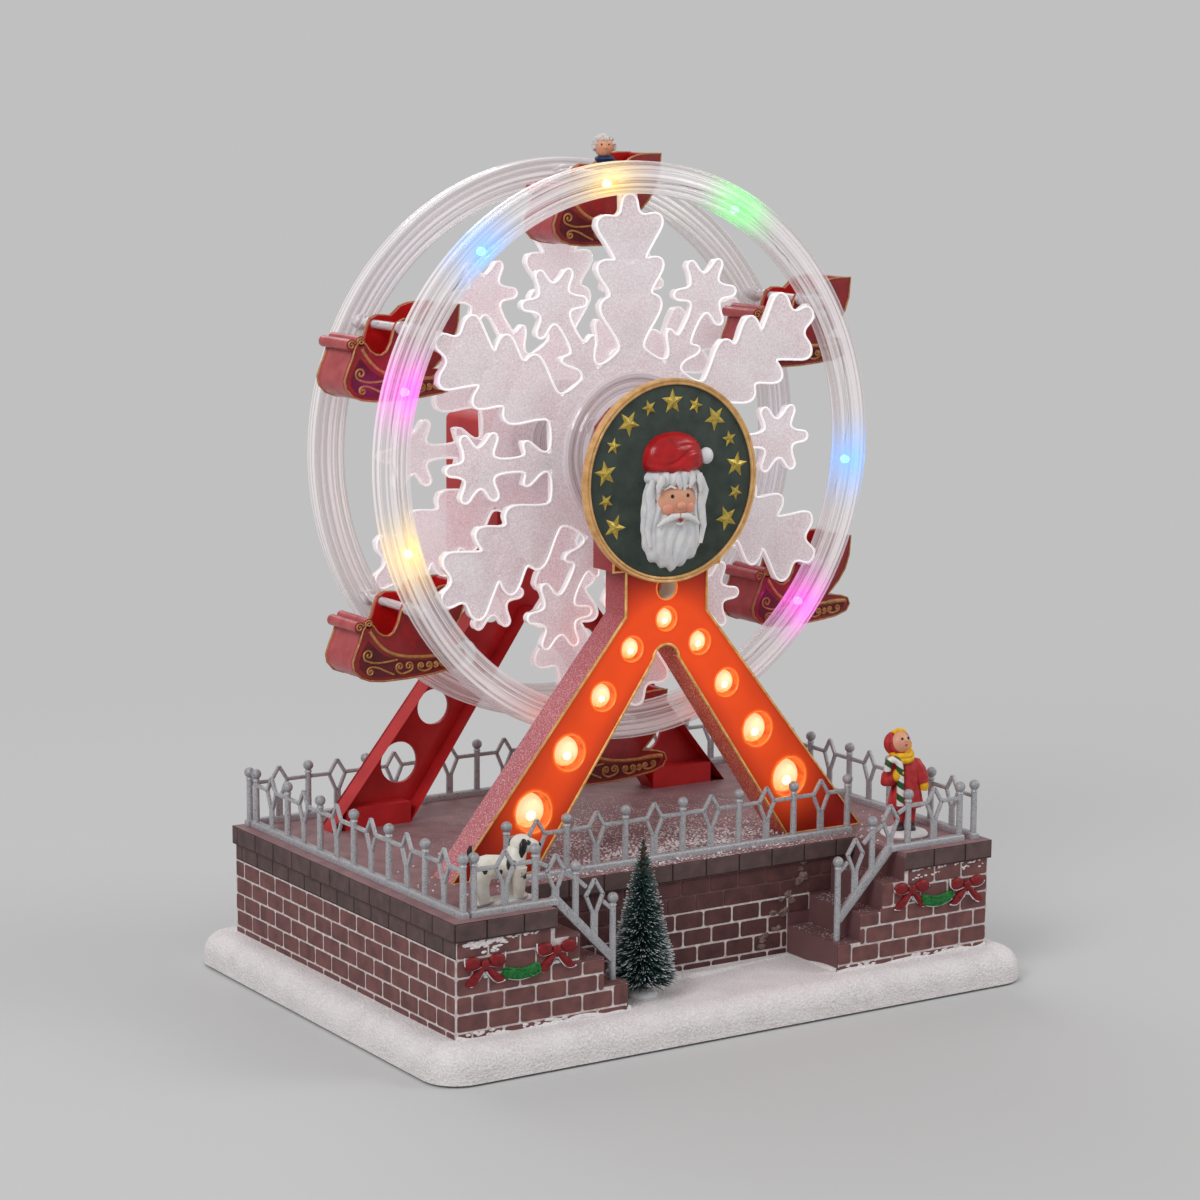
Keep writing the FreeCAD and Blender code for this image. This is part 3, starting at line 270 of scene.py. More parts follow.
# Fills an outline with its holes, thickens the plate from front to back and eases both its rims
def plate(outline, holes, front, back, soften=0.0, ease=0.0):
    bm = bmesh.new()
    addMesh(bm, rim(outline, front, soften))
    edges = bm.edges[:]
    for x, z, radius in holes:
        edges += roundHole(bm, x, z, radius, front)
    made = bmesh.ops.triangle_fill(bm, use_beauty=True, use_dissolve=False, edges=edges)
    pushed(bm, [item for item in made["geom"] if isinstance(item, bmesh.types.BMFace)], (0, back - front, 0))
    bmesh.ops.recalc_face_normals(bm, faces=bm.faces[:])
    if ease:
        corners = [edge for edge in bm.edges if abs(edge.verts[0].co.y - edge.verts[1].co.y) < 1e-6
                   and edge.calc_face_angle(0) > 1.0]
        rounded(bm, corners, ease, 2, True)
    return bm


# A tube along points: straight runs, or a smooth curve through its control points
def strand(bm, points, radius, closed=False, smooth=False, sides=2):
    curve = bpy.data.curves.new("strand", "CURVE")
    curve.dimensions = "3D"
    curve.bevel_depth = radius
    curve.bevel_resolution = sides
    curve.use_fill_caps = True
    curve.resolution_u = 6
    spline = curve.splines.new("NURBS" if smooth else "POLY")
    spline.points.add(len(points) - 1)
    for point, co in zip(spline.points, points):
        point.co = (*co, 1.0)
    spline.use_cyclic_u = closed
    if smooth:
        spline.order_u = 4
        spline.use_endpoint_u = not closed
    holder = bpy.data.objects.new("strand", curve)
    mesh = bpy.data.meshes.new_from_object(holder)
    bm.from_mesh(mesh)
    bpy.data.objects.remove(holder)
    bpy.data.curves.remove(curve)
    bpy.data.meshes.remove(mesh)


def onArc(radius, degrees, centre=(0.0, 0.0)):
    angle = math.radians(degrees)
    return centre[0] + radius * math.cos(angle), centre[1] + radius * math.sin(angle)


def onWheel(radius, degrees):
    return onArc(radius, degrees, (0, village["axle"]))


def pinPlace(number):
    return onWheel(village["wheelPin"], village["wheelTurn"] + 60 * number - 30)


def shaken(verts, amount):
    for vert in verts:
        vert.co += Vector([random.uniform(-amount, amount) for axis in range(3)])


# Camera at the photograph's place and a plain pale studio
studio = {
    "eye": (-602.39, -925.34, 316.94),
    "right": (0.84069, -0.54146, 0.00714),
    "up": (0.08304, 0.14194, 0.98639),
    "forward": (0.53510, 0.82866, -0.16429),
    "lens": 96.6,
    "backdrop": (0.527, 0.527, 0.527),
    "cloth": (0.56, 0.56, 0.56),
    "fade": (0.20, 0.62),
    "world": 0.50,
    "lamps": [((-1120, -560, 1080), 640, 9.4), ((960, -600, 900), 520, 3.8), ((100, 900, 1000), 600, 3.6)],
}


def buildStudio():
    camera = bpy.data.objects.new("camera", bpy.data.cameras.new("camera"))
    camera.data.lens = studio["lens"]
    camera.data.sensor_width = 36.0
    camera.data.clip_start = 0.01
    turn = Matrix((studio["right"], studio["up"], [-part for part in studio["forward"]])).transposed().to_4x4()
    camera.matrix_world = Matrix.Translation([part * mm for part in studio["eye"]]) @ turn
    bpy.context.scene.collection.objects.link(camera)
    bpy.context.scene.camera = camera
    for index, (place, size, power) in enumerate(studio["lamps"]):
        lamp = bpy.data.objects.new("softLamp%d" % index, bpy.data.lights.new("softLamp%d" % index, "AREA"))
        lamp.data.size = size * mm
        lamp.data.energy = power
        lamp.location = Vector(place) * mm
        lamp.rotation_euler = (Vector((0, 0, 0.12)) - lamp.location).to_track_quat("-Z", "Y").to_euler()
        bpy.context.scene.collection.objects.link(lamp)
    bm = bmesh.new()
    bmesh.ops.create_grid(bm, x_segments=1, y_segments=1, size=6.0)
    mesh = bpy.data.meshes.new("floor")
    bm.to_mesh(mesh)
    bm.free()
    floor = bpy.data.objects.new("floor", mesh)
    bpy.context.scene.collection.objects.link(floor)
    cloth = Finish("paleFloor")
    diffuse = cloth.node("BsdfPrincipled", {}, {"Base Color": studio["cloth"], "Roughness": 0.9})
    plain = cloth.node("Emission", {}, {"Color": studio["backdrop"], "Strength": 1.0})
    far = cloth.ramp(cloth.distance((0, 0, 0)), *studio["fade"])
    mixed = cloth.node("MixShader", {}, {0: far * cloth.looked(), 1: diffuse, 2: plain})
    floor.data.materials.append(cloth.ends(mixed))
    world = bpy.data.worlds.new("studio")
    air = Finish("studio", world)
    light = air.node("Background", {}, {"Color": (1.0, 1.0, 1.0), "Strength": studio["world"]})
    paper = air.node("Background", {}, {"Color": studio["backdrop"], "Strength": 1.0})
    air.ends(air.node("MixShader", {}, {0: air.looked(), 1: light, 2: paper}), "World")
    bpy.context.scene.world = world
    bpy.context.scene.view_settings.view_transform = "Standard"


buildStudio()
print("studio ready")

# Snow base: a glittering slab with a pillowed edge
snow = {
    "half": (119.5, 89.0),
    "foot": 0.8,
    "corner": 12.0,
    "edge": 7.5,
    "lip": 2.2,
    "hollow": 1.9,
    "hollowOver": 9000,
    "white": (0.86, 0.79, 0.80),
    "shade": (0.72, 0.655, 0.665),
}


def snowFinish(name, shade, other, grain, strength):
    finish = Finish(name)
    fine = finish.noise(grain, 3.0, rough=0.75)
    glints = finish.cells(0.7) < 0.16
    patches = finish.ramp(finish.noise(9.0, 3.0), 0.3, 0.7)
    colour = finish.blend(patches, shade, other)
    return finish.done({
        "Base Color": finish.blend(finish.ramp(fine, 0.46, 0.62), colour, (0.90, 0.88, 0.88)),
        "Roughness": finish.ramp(glints, 0.0, 1.0, 0.75, 0.22),
        "Normal": finish.bump(fine + finish.cells(0.8), strength, 0.42),
    })


snowWhite = snowFinish("snowGlitter", snow["shade"], snow["white"], 0.75, 0.9)


def buildSnowBase():
    bm = bmesh.new()
    x, y = snow["half"]
    block(bm, (-x, -y, snow["foot"]), (x, y, village["snowTop"]))
    upright = [edge for edge in bm.edges if abs(edge.verts[0].co.z - edge.verts[1].co.z) > 1]
    rounded(bm, upright, snow["corner"], 8)
    top = [edge for edge in bm.edges if all(abs(vert.co.z - village["snowTop"]) < 0.001 for vert in edge.verts)
           and edge.calc_face_angle(0) > 1.0]
    rounded(bm, top, snow["edge"], 7)
    under = [face for face in bm.faces if face.normal.z < -0.9]
    bmesh.ops.inset_region(bm, faces=under, thickness=snow["lip"])
    under = [face for face in bm.faces if face.normal.z < -0.9 and face.calc_area() > snow["hollowOver"]]
    pushed(bm, under, (0, 0, snow["hollow"]))
    bmesh.ops.delete(bm, geom=under, context="FACES_ONLY")
    finished(bm, "snowSlab", snowWhite, 50, ["snow_base"])


# Snow banked along the foot of the front walls and of the rear one: low beads that swell and thin
def buildDrifts():
    bm = bmesh.new()
    x, y, recess = village["halfLength"], village["halfDepth"], village["recess"]
    stair = village["stair"]
    runs = [((-stair, -y), (-x, -y)), ((x, -y), (stair, -y)), ((-x, y), (x, y)), ((-stair, recess), (-stair, -y)),
            ((stair, -y), (stair, recess))]
    for start, end in runs:
        steps = max(3, int(math.dist(start, end) / 4))
        path = []
        for step in range(steps + 1):
            share = step / steps
            spot = [a + (b - a) * share + random.uniform(-0.3, 0.3) for a, b in zip(start, end)]
            path.append((*spot, village["snowTop"] + random.uniform(-1.5, 0.5)))
        strand(bm, path, 1.2, smooth=True, sides=3)
    middle = []
    for step in range(12):
        share = step / 11
        middle.append((-40 + 80 * share, recess - 3.0 - 4.5 * math.sin(math.pi * share) ** 2,
                       village["snowTop"] - 1.2 + 0.5 * math.sin(5 * share)))
    strand(bm, middle, 2.2, smooth=True, sides=3)
    finished(bm, "snowDrifts", snowWhite, 80)


# Brick platform
bricks = {
    "courseFoot": 14.0,
    "course": 6.0,
    "length": 11.8,
    "joint": 0.55,
    "proud": 0.36,
    "corner": 0.8,
    "ease": 0.2,
    "header": (38.2, 43.9),
    "headerShift": 4.0,
    "headerProud": 0.25,
    "capFoot": 43.95,
    "capJointFoot": 44.0,
    "capStone": 13.8,
    "capOver": 1,
    "capProud": 0.3,
    "sheet": 0.2,
    "thinSheet": 0.1,
    "recessSheet": 0.14,
    "rearDoor": (-82, -44),
    "recessSteps": [(-42.6, 42.6, 11.5, 26.4), (-20, 51.9, 26.4, 32.3)],
    "shade": (0.205, 0.084, 0.078),
    # dark, darkOther: the brick red darkened as painted shade for the recess wall under the cap
    "dark": (0.120, 0.046, 0.045),
    "darkOther": (0.070, 0.028, 0.030),
    "other": (0.120, 0.052, 0.052),
    "stone": (0.125, 0.076, 0.074),
    "stoneOther": (0.078, 0.050, 0.049),
    "mortar": (0.74, 0.68, 0.66),
    "gap": (0.022, 0.012, 0.012),
    "floor": (0.300, 0.155, 0.162),
    "floorOther": (0.200, 0.104, 0.110),
    "stairShade": (0.125, 0.052, 0.055),
    "rubble": (0.26, 0.17, 0.16),
    "stairs": [(70.5, 50.1), (61.2, 40.575), (51.9, 31.05), (42.6, 21.525)],
}
brickRed = painted("brickPaint", bricks["shade"], bricks["other"], 0.62, 0.5, 0.5, 6.0)
recessShadeBrick = painted("recessShadePaint", bricks["dark"], bricks["darkOther"], 0.66, 0.5, 0.5, 6.0)
stoneBrown = painted("stonePaint", bricks["stone"], bricks["stoneOther"], 0.66, 0.5, 0.6, 5.0)
mortarWhite = painted("mortarPaint", bricks["mortar"], (0.50, 0.42, 0.41), 0.85, 0.6, 0.5, 2.0)
gapBrown = painted("gapPaint", bricks["gap"], (0.040, 0.022, 0.021), 0.8, 0.6, 0.4, 3.0)


def floorFinish():
    finish = Finish("platformFloor")
    flat = finish.facing(2) > 0.5
    grain = finish.noise(0.5, 3.0)
    colour = finish.blend(finish.ramp(finish.noise(7.0, 4.0), 0.3, 0.7), bricks["floor"], bricks["floorOther"])
    # Below the floor's level the stairs and lower faces turn darker: painted shade in the recess
    colour = finish.blend(finish.ramp(finish.place(2), 0.0492, 0.0480, 0.0, 0.85), colour, bricks["stairShade"])
    near = finish.ramp(finish.distance((0.01, -0.030, 0.05)), 0.02, 0.105, 1.0, 0.12)
    specks = finish.cells(1.15) < (finish.noise(12.0, 2.0) * near * 0.72)
    white = (specks * flat).clamped()
    return finish.done({
        "Base Color": finish.blend(white, colour, (0.85, 0.84, 0.86)),
        "Roughness": finish.ramp(grain, 0.3, 0.7, 0.5, 0.72),
        "Normal": finish.bump(grain + white, 0.5, 0.25),
    })


# A wall is a start, a direction along it and its outward side. Blocks stand proud of it
def onWall(bm, wall, span, heights, depths):
    start, along, out = wall
    corners = []
    for distance, depth in zip(span, depths):
        corners.append([start[i] + along[i] * distance + out[i] * depth for i in (0, 1)])
    low = [min(corners[0][i], corners[1][i]) for i in (0, 1)]
    high = [max(corners[0][i], corners[1][i]) for i in (0, 1)]
    return block(bm, (*low, heights[0]), (*high, heights[1]))


# Bricks of one course. Near a stair their top is the stair's. Their short edges come back to be rounded
def layCourse(bm, wall, start, end, low, high, length, shift, proud, topAt=None):
    gap = bricks["joint"] / 2
    corners = []
    at = start - shift
    while at < end - 0.5:
        first, last = max(at, start), min(at + length, end)
        if last - first > 2.2:
            limit = high if topAt is None else topAt((first + last) / 2)
            top = limit if abs(limit - high) < 3.5 else high
            verts = onWall(bm, wall, (first + gap, last - gap), (low + gap, top - gap),
                           (-0.4, proud + random.uniform(-0.06, 0.06)))
            outwards = Vector((*wall[2], 0))
            corners += [edge for edge in {edge for vert in verts for edge in vert.link_edges}
                        if abs((edge.verts[1].co - edge.verts[0].co).normalized().dot(outwards)) > 0.9]
        at += length
    return corners


def easeBlocks(bm, corners=()):
    if corners:
        rounded(bm, corners, bricks["corner"], 2, True)
    rounded(bm, [edge for edge in bm.edges if edge.calc_face_angle(0) > 1.0], bricks["ease"], 1, True)


def stairTop(x):
    return next((top for edge, top in bricks["stairs"] if abs(x) >= edge), village["snowTop"])


def buildBricks():
    x, y, recess = village["halfLength"], village["halfDepth"], village["recess"]
    foot, course, proud = bricks["courseFoot"], bricks["course"], bricks["proud"]
    sides = [((-x, -y), (0, 1), (-1, 0)), ((x, -y), (0, 1), (1, 0))]
    rear = ((-x, y), (1, 0), (0, 1))
    brick, shaded, stone = bmesh.new(), bmesh.new(), bmesh.new()
    long = bricks["length"]
    corners, inside = [], []

    def frontTop(at):
        return stairTop(x - at) - 0.1

    for row in range(-1, 5):
        low = foot + row * course if row >= 0 else village["snowTop"] - 0.6
        high = foot + (row + 1) * course
        size = (low, high, long, long / 2 if row % 2 else 0.0)
        if row < 4:
            for wall in sides:
                corners += layCourse(brick, wall, 0, 2 * y, *size, proud)
            for span in ((0, 26), (62, 2 * x)) if row in (1, 2, 3) else ((0, 2 * x),):
                corners += layCourse(brick, rear, *span, *size, proud)
        edge = min(edge for edge, top in bricks["stairs"] if top >= high - 1.0)
        for side in (-1, 1):
            wall = ((side * x, -y), (-side, 0), (0, -1))
            corners += layCourse(brick, wall, 0, x - edge, *size, proud, frontTop)
        inner = min(edge for edge, top in bricks["stairs"] if top > low)
        # The recess wall's bricks go in their own piece, painted darker as painted shade
        inside += layCourse(shaded, ((-inner, recess), (1, 0), (0, -1)), 0, 2 * inner, *size, bricks["capProud"])
    header = (*bricks["header"], long, bricks["headerShift"], bricks["headerProud"])
    for wall in sides:
        layCourse(stone, wall, 0, 2 * y, *header)
    layCourse(stone, rear, 0, 2 * x, *header)
    cap = (bricks["capFoot"], village["floor"] + 0.15, bricks["capStone"])
    over, wing, proud = bricks["capOver"], village["wing"], bricks["capProud"]
    for side in (-1, 1):
        corner = (side * (x + over), -y - over)
        layCourse(stone, (corner, (0, 1), (side, 0)), 0, 2 * (y + over), *cap, 0, proud)
        layCourse(stone, (corner, (-side, 0), (0, -1)), 0, x + over - wing, *cap, 2, proud)
    layCourse(stone, ((-x - over, y + over), (1, 0), (0, 1)), 0, 2 * (x + over), *cap, 0, proud)
    layCourse(stone, ((-wing, recess - over), (1, 0), (0, -1)), 0, 2 * wing, *cap, 5, proud)
    easeBlocks(brick, corners)
    easeBlocks(shaded, inside)
    easeBlocks(stone)
    finished(brick, "brickCourses", brickRed, 30)
    finished(shaded, "recessCourses", recessShadeBrick, 30)
    finished(stone, "capStones", stoneBrown, 30)


# White joints: thin sheets on the walls, just behind the faces of the bricks. The cap's joints are dark
def buildMortar():
    x, y, recess, floor = (village[key] for key in ("halfLength", "halfDepth", "recess", "floor"))
    sheet, thin, inset = bricks["sheet"], bricks["thinSheet"], bricks["recessSheet"]
    bm = bmesh.new()
    low, high = village["snowTop"] - 0.5, bricks["header"][0]
    for side in (-1, 1):
        block(bm, (side * x - sheet, -y, low), (side * x + sheet, y, high))
    for start, end in ((-x, bricks["rearDoor"][0]), (bricks["rearDoor"][1], x)):
        block(bm, (start, y - sheet, low), (end, y + sheet, high))
    edges = bricks["stairs"] + [(x, 0)]
    for side in (-1, 1):
        for index in range(4):
            inner, top = edges[index]
            outer = x if index == 0 else edges[index - 1][0]
            ends = sorted((side * (inner + 0.5), side * (outer + 0.5 if index else outer)))
            block(bm, (ends[0], -y - sheet, low), (ends[1], -y + sheet, min(top, 44.2) - 0.5))
    for start, end, foot, top in bricks["recessSteps"]:
        block(bm, (start, recess - inset, foot), (end, recess + inset, top))
    finished(bm, "mortarJoints", mortarWhite, 30)
    bm = bmesh.new()
    joint, rim, wing = bricks["capJointFoot"], 0.9, village["wing"]
    for side in (-1, 1):
        block(bm, (side * x - thin, -y, high), (side * x + thin, y, joint))
        block(bm, (side * (x + 1) - thin, -y - rim, joint), (side * (x + 1) + thin, y + rim, floor))
        ends = sorted((side * (wing + 0.4), side * (x + rim)))
        block(bm, (ends[0], -y - rim - sheet, joint), (ends[1], -y - rim, floor))
    block(bm, (-x, y - thin, high), (x, y + thin, joint))
    block(bm, (-x - rim, y + rim, joint), (x + rim, y + rim + sheet, floor))
    block(bm, (0.3 - wing, recess - rim - sheet, joint), (wing - 0.3, recess - rim, floor))
    finished(bm, "capJoints", gapBrown, 30)


# Cream snow brushed thinly under the cap, on ledges and on the lowest course: x and z spans, count and size
smears = [(-104.5, -89.5, 41.4, 43.4, 34, 1.1), (-98.0, -90.0, 39.4, 41.5, 10, 0.8),
          (-89.0, -77.0, 42.9, 43.5, 14, 0.6), (73.0, 104.0, 43.0, 43.6, 22, 0.55),
          (74.0, 86.0, 40.2, 41.6, 10, 0.55), (96.0, 106.0, 41.0, 42.0, 8, 0.5)]


def buildSmears():
    bm = bmesh.new()
    y = -village["halfDepth"] - 0.42

    def smear(x0, x1, z0, z1, count, size):
        for index in range(count):
            spot = (random.uniform(x0, x1), y, random.uniform(z0, z1))
            verts = ball(bm, spot, random.uniform(0.6, 1.0) * size, (1.5, 0.22 / size, 0.7), 1)
            for vert in verts:
                vert.co.x += random.uniform(-0.3, 0.3) * size
                vert.co.z += random.uniform(-0.2, 0.2) * size

    for spot in smears:
        smear(*spot)
    for side in (-1, 1):
        for index in range(7):
            at = side * random.uniform(46, 104)
            smear(at - 3.0, at + 3.0, 12.2, 13.8, 6, 0.75)
    finished(bm, "snowSmears", snowWhite, 60)


# Rough stones in the corner beside the right stair
def buildRubble():
    bm = bmesh.new()
    for index in range(26):
        share = index / 25
        spot = (30 + 20 * share + random.uniform(-2.5, 2.5), village["recess"] - 0.2,
                15 + 27 * share + random.uniform(-2.5, 2.5))
        shaken(ball(bm, spot, random.uniform(1.2, 2.1), (1.0, 0.32, 0.7), 1), 0.35)
    paint = painted("rubblePaint", bricks["rubble"], (0.12, 0.075, 0.072), 0.8, 0.6, 0.8, 1.6)
    finished(bm, "rubble", paint, 20)


# Grains of snow that lie on the platform, thickest before the middle of the wheel
def buildDust():
    bm = bmesh.new()
    placed = 0
    while placed < 900:
        x, y = random.gauss(2, 42), random.gauss(-34, 16)
        if abs(x) > 100 or y > 70 or y < village["recess"] + 1.5 and abs(x) < 71 or y < -70:
            continue
        if 3 < y < 21 and abs(x) < 30 and random.random() < 0.6:
            continue
        size = random.uniform(0.3, 0.75)
        turn = Matrix.Rotation(random.uniform(0, 3), 4, "Z") @ Matrix.Rotation(random.uniform(0, 1), 4, "X")
        spot = (x, y, village["floor"] + 0.15)
        bmesh.ops.create_cube(bm, size=size, matrix=Matrix.Translation(spot) @ turn)
        placed += 1
    finished(bm, "snowDust", snowWhite, 20)


buildSnowBase()
buildDrifts()
buildBricks()
buildMortar()
buildSmears()
buildRubble()
buildDust()
print("snow, bricks and stones ready")


# Fences. Level ones have a pitch, a count of bays, a first post and a turn; wings go down the stairs
fence = {
    "ball": 19.1,
    "ballRadius": 1.85,
    "post": 1.15,
    "rail": 15.1,
    "bar": 0.62,
    "tip": 20.6,
    "wide": 3.7,
    "foot": 8.9,
    "base": 2.2,
    "depth": 1.5,
    "line": -72.4,
    "level": [
        ("leftFence", "fence_left", 24.0, 6, (-102.3, -72.4), 90),
        ("rightFence", "fence_right", 24.0, 6, (104.8, -72.4), 90),
        ("rearFence", "fence_rear", 23.32, 9, (-103.0, 75.4), 0),
        ("centreFence", "fence_centre", 23.38, 6, (-67.94, -42.0), 0),
    ],
    "wingPosts": [(45.8, -1.0), (60.2, 11.4), (75.6, 19.1), (98.4, 19.1)],
    "wingFeet": (21.6, 1.8),
    "wingRail": (67.6, 99.8),
    "slope": (9.525, 9.3, 3.9),
    "slopeEnd": 69.2,
    "grey": (0.330, 0.330, 0.350),
    "greyOther": (0.190, 0.195, 0.220),
    "rubbed": (0.480, 0.480, 0.500),
}


# Cast metal paint: slow grey patches, rubbed bright on top, with pits that keep the dark
def castFinish():
    finish = Finish("fencePaint")
    patches = finish.ramp(finish.noise(2.4, 4.0), 0.35, 0.68)
    grain = finish.noise(0.45, 3.0, rough=0.6)
    grey = finish.blend(patches, fence["grey"], fence["greyOther"])
    edge = finish.node("NewGeometry", {}, {}, "Pointiness")
    worn = (finish.ramp(edge, 0.50, 0.58) * finish.ramp(grain, 0.35, 0.55)).clamped()
    return finish.done({
        "Base Color": finish.blend(worn, grey, fence["rubbed"]),
        "Metallic": 0.2,
        "Roughness": finish.ramp(grain, 0.3, 0.7, 0.34, 0.52),
        "Normal": finish.bump(grain, 0.55, 0.16),
    })


fenceGrey = castFinish()


# A bar with eased square section between two points of the fence's own plane
def bar(bm, start, end, half, across):
    line = Vector(end) - Vector(start)
    turn = line.to_track_quat("Z", "Y").to_matrix().to_4x4()
    matrix = Matrix.Translation((Vector(start) + Vector(end)) / 2) @ turn @ Matrix.Diagonal(
        (2 * half, 2 * across, line.length, 1.0))
    return bmesh.ops.create_cube(bm, size=1.0, matrix=matrix)


def fencePost(bm, x, foot, ballHeight):
    cone(bm, (x, 0, foot), (x, 0, ballHeight - 1.2), fence["post"], fence["post"] * 0.92, 14)
    cone(bm, (x, 0, ballHeight - 2.4), (x, 0, ballHeight - 1.5), fence["post"] * 1.2, fence["post"] * 0.8, 14)
    bmesh.ops.create_uvsphere(bm, u_segments=18, v_segments=12, radius=fence["ballRadius"],
                              matrix=Matrix.Translation((x, 0, ballHeight)))


# A kite of thin bars with a tall point, on a stem of two lines with a web between them
def fenceKite(bm, x, lift, foot):
    half = fence["bar"]
    tip, waist, bottom = fence["tip"] + lift - 0.6, fence["rail"] + lift - 0.4, fence["foot"] + lift
    for side in (-1, 1):
        wide = side * (fence["wide"] - half * 0.6)
        bar(bm, (x, 0, tip), (x + wide, 0, waist), half, half)
        bar(bm, (x + wide, 0, waist + 0.3), (x + side * 0.7, 0, bottom + 0.2), half, half)
        bar(bm, (x + side * 0.75, 0, bottom + 0.8), (x + side * 0.75, 0, foot), half * 0.95, 0.5)
    bar(bm, (x, 0, bottom + 0.6), (x, 0, foot), half * 0.6, 0.5)


def fenceBays(bm, tops, foot):
    for x, ballHeight in tops:
        fencePost(bm, x, foot(x), ballHeight)
    for (x0, z0), (x1, z1) in zip(tops[:-1], tops[1:]):
        drop = fence["ball"] - fence["rail"]
        middle, lift = (x0 + x1) / 2, (z0 + z1) / 2 - fence["ball"]
        slope = (z1 - z0) / (x1 - x0)
        for start, end in ((x0, middle - fence["wide"] + 0.4), (middle + fence["wide"] - 0.4, x1)):
            bar(bm, (start, 0, z0 - drop + slope * (start - x0)), (end, 0, z0 - drop + slope * (end - x0)),
                fence["bar"] * 0.9, fence["bar"] * 1.15)
        fenceKite(bm, middle, lift, foot(middle))


def easeBars(bm):
    edges = [edge for edge in bm.edges if edge.calc_face_angle(0) > 1.3 and edge.calc_length() > 1.6]
    rounded(bm, edges, 0.3, 2, True)


# The foot rail with a rounded top
def footRail(bm, low, high):
    rail = bmesh.new()
    block(rail, low, high)
    top = [edge for edge in rail.edges if all(vert.co.z > low[2] + 0.5 for vert in edge.verts)]
    rounded(rail, top, 0.95, 4)
    addMesh(bm, rail)


def levelFence(name, node, pitch, count, start, turn):
    bm = bmesh.new()
    fenceBays(bm, [(pitch * index, fence["ball"]) for index in range(count + 1)], levelFoot)
    easeBars(bm)
    footRail(bm, (-1.4, -fence["depth"], 0), (pitch * count + 1.4, fence["depth"], fence["base"]))
    matrix = Matrix.Translation((*start, village["floor"])) @ Matrix.Rotation(math.radians(turn), 4, "Z")
    bmesh.ops.transform(bm, matrix=matrix, verts=bm.verts[:])
    finished(bm, name, fenceGrey, 35, [node])


def levelFoot(x):
    return fence["base"] - 0.3


# The wing's sloped rail runs over the stair, and its posts stand on a step, the rail or the wall
def slopedRail(x):
    rise, run, lift = fence["slope"]
    return village["floor"] - (village["wing"] - x) * rise / run + lift


def wingFoot(x):
    step, wall = fence["wingFeet"]
    return village["floor"] + wall if x > village["wing"] else step if x < 46 else slopedRail(x)


def wingFence(name, node, side):
    bm = bmesh.new()
    floor, depth = village["floor"], fence["depth"]
    first, last = fence["wingPosts"][0][0], fence["slopeEnd"]
    fenceBays(bm, [(x, floor + rise) for x, rise in fence["wingPosts"]], wingFoot)
    bar(bm, (first, 0, slopedRail(first)), (last, 0, slopedRail(last)), 1.1, depth)
    easeBars(bm)
    low, high = fence["wingRail"]
    footRail(bm, (low, -depth, floor), (high, depth, floor + fence["base"]))
    bmesh.ops.translate(bm, vec=(0, fence["line"], 0), verts=bm.verts[:])
    bmesh.ops.scale(bm, vec=(side, 1, 1), verts=bm.verts[:])
    finished(bm, name, fenceGrey, 35, [node])


for row in fence["level"]:
    levelFence(*row)
wingFence("rightStairFence", "fence_right_wing", 1)
wingFence("leftStairFence", "fence_left_wing", -1)
print("fences ready")


# A-frames. Light holes are (height, radius); the legs' middle line is worked out from their edges
frames = {
    "outerFoot": 84.0,
    "innerFoot": 52.0,
    "neck": 16.4,
    "neckFoot": 133.4,
    "head": 21.5,
    "headFoot": 149.1,
    "headTop": 203.0,
    "arch": 5.2,
    "shoulder": 118.0,
    "archTop": 122.8,
    "front": (-34.0, -21.0),
    "rear": (50.0, 59.0),
    "rearTop": 193.0,
    "holes": [(131.5, 3.9), (122.3, 4.1), (107.1, 4.7), (89.3, 5.9), (70.6, 6.9)],
    "darkHole": (142.2, 3.9),
    "red": (0.36, 0.014, 0.008),
    # bulbLitOrange: painted light from the bulbs on the face
    "bulbLitOrange": (0.80, 0.050, 0.008),
    # sideSheen: side faces painted a paler pink as painted sheen; speckle: pale dust flecks; upperShade: painted shade
    # higher up
    "sideSheen": (0.50, 0.125, 0.145),
    "speckle": (0.74, 0.42, 0.44),
    "upperShade": (0.30, 0.030, 0.036),
    # inner, glint: inner sides painted as lit by the frame's glow, with painted glints
    "inner": (0.60, 0.075, 0.045),
    "glint": (0.92, 0.42, 0.26),
    "plainRed": (0.56, 0.026, 0.028),
    "plainOther": (0.43, 0.016, 0.020),
    "gold": (0.56, 0.32, 0.085),
    "goldOther": (0.34, 0.17, 0.040),
    # glow, holeGlow: the frame's emission near the holes, painted light as the frame is no lamp
    "glow": (1.0, 0.13, 0.012),
    "holeGlow": (1.0, 0.22, 0.02),
    "bulbHot": (1.0, 0.80, 0.36),
    "bulbCream": (0.118, 0.084, 0.044),
    "bulbAmber": (0.150, 0.052, 0.006),
}
goldPaint = painted("goldPaint", frames["gold"], frames["goldOther"], 0.36, 0.4, 0.3, 1.6, 0.45, 0.06)
maroonPaint = painted("maroonPaint", (0.085, 0.018, 0.02), (0.04, 0.010, 0.012), 0.35, 0.6, 0.3, 3.0)
louvreShade = painted("louvreShade", (0.030, 0.030, 0.034), (0.018, 0.018, 0.02), 0.5, 0.6, 0.3, 8.0)
plainRed = painted("satinRed", frames["plainRed"], frames["plainOther"], 0.34, 0.45, 0.35, 12.0, 0.0, 0.05)


def legMiddle(height):
    edges = []
    for foot, top, upTo in (("outerFoot", "neck", "neckFoot"), ("innerFoot", "arch", "shoulder")):
        share = (height - village["floor"]) / (frames[upTo] - village["floor"])
        edges.append(frames[foot] - (frames[foot] - frames[top]) * share)
    return sum(edges) / 2


def lightHoles():
    height, radius = frames["holes"][0]
    places = [(0.0, height, radius)]
    for height, radius in frames["holes"][1:]:
        places += [(side * legMiddle(height), height, radius) for side in (-1, 1)]
    return places


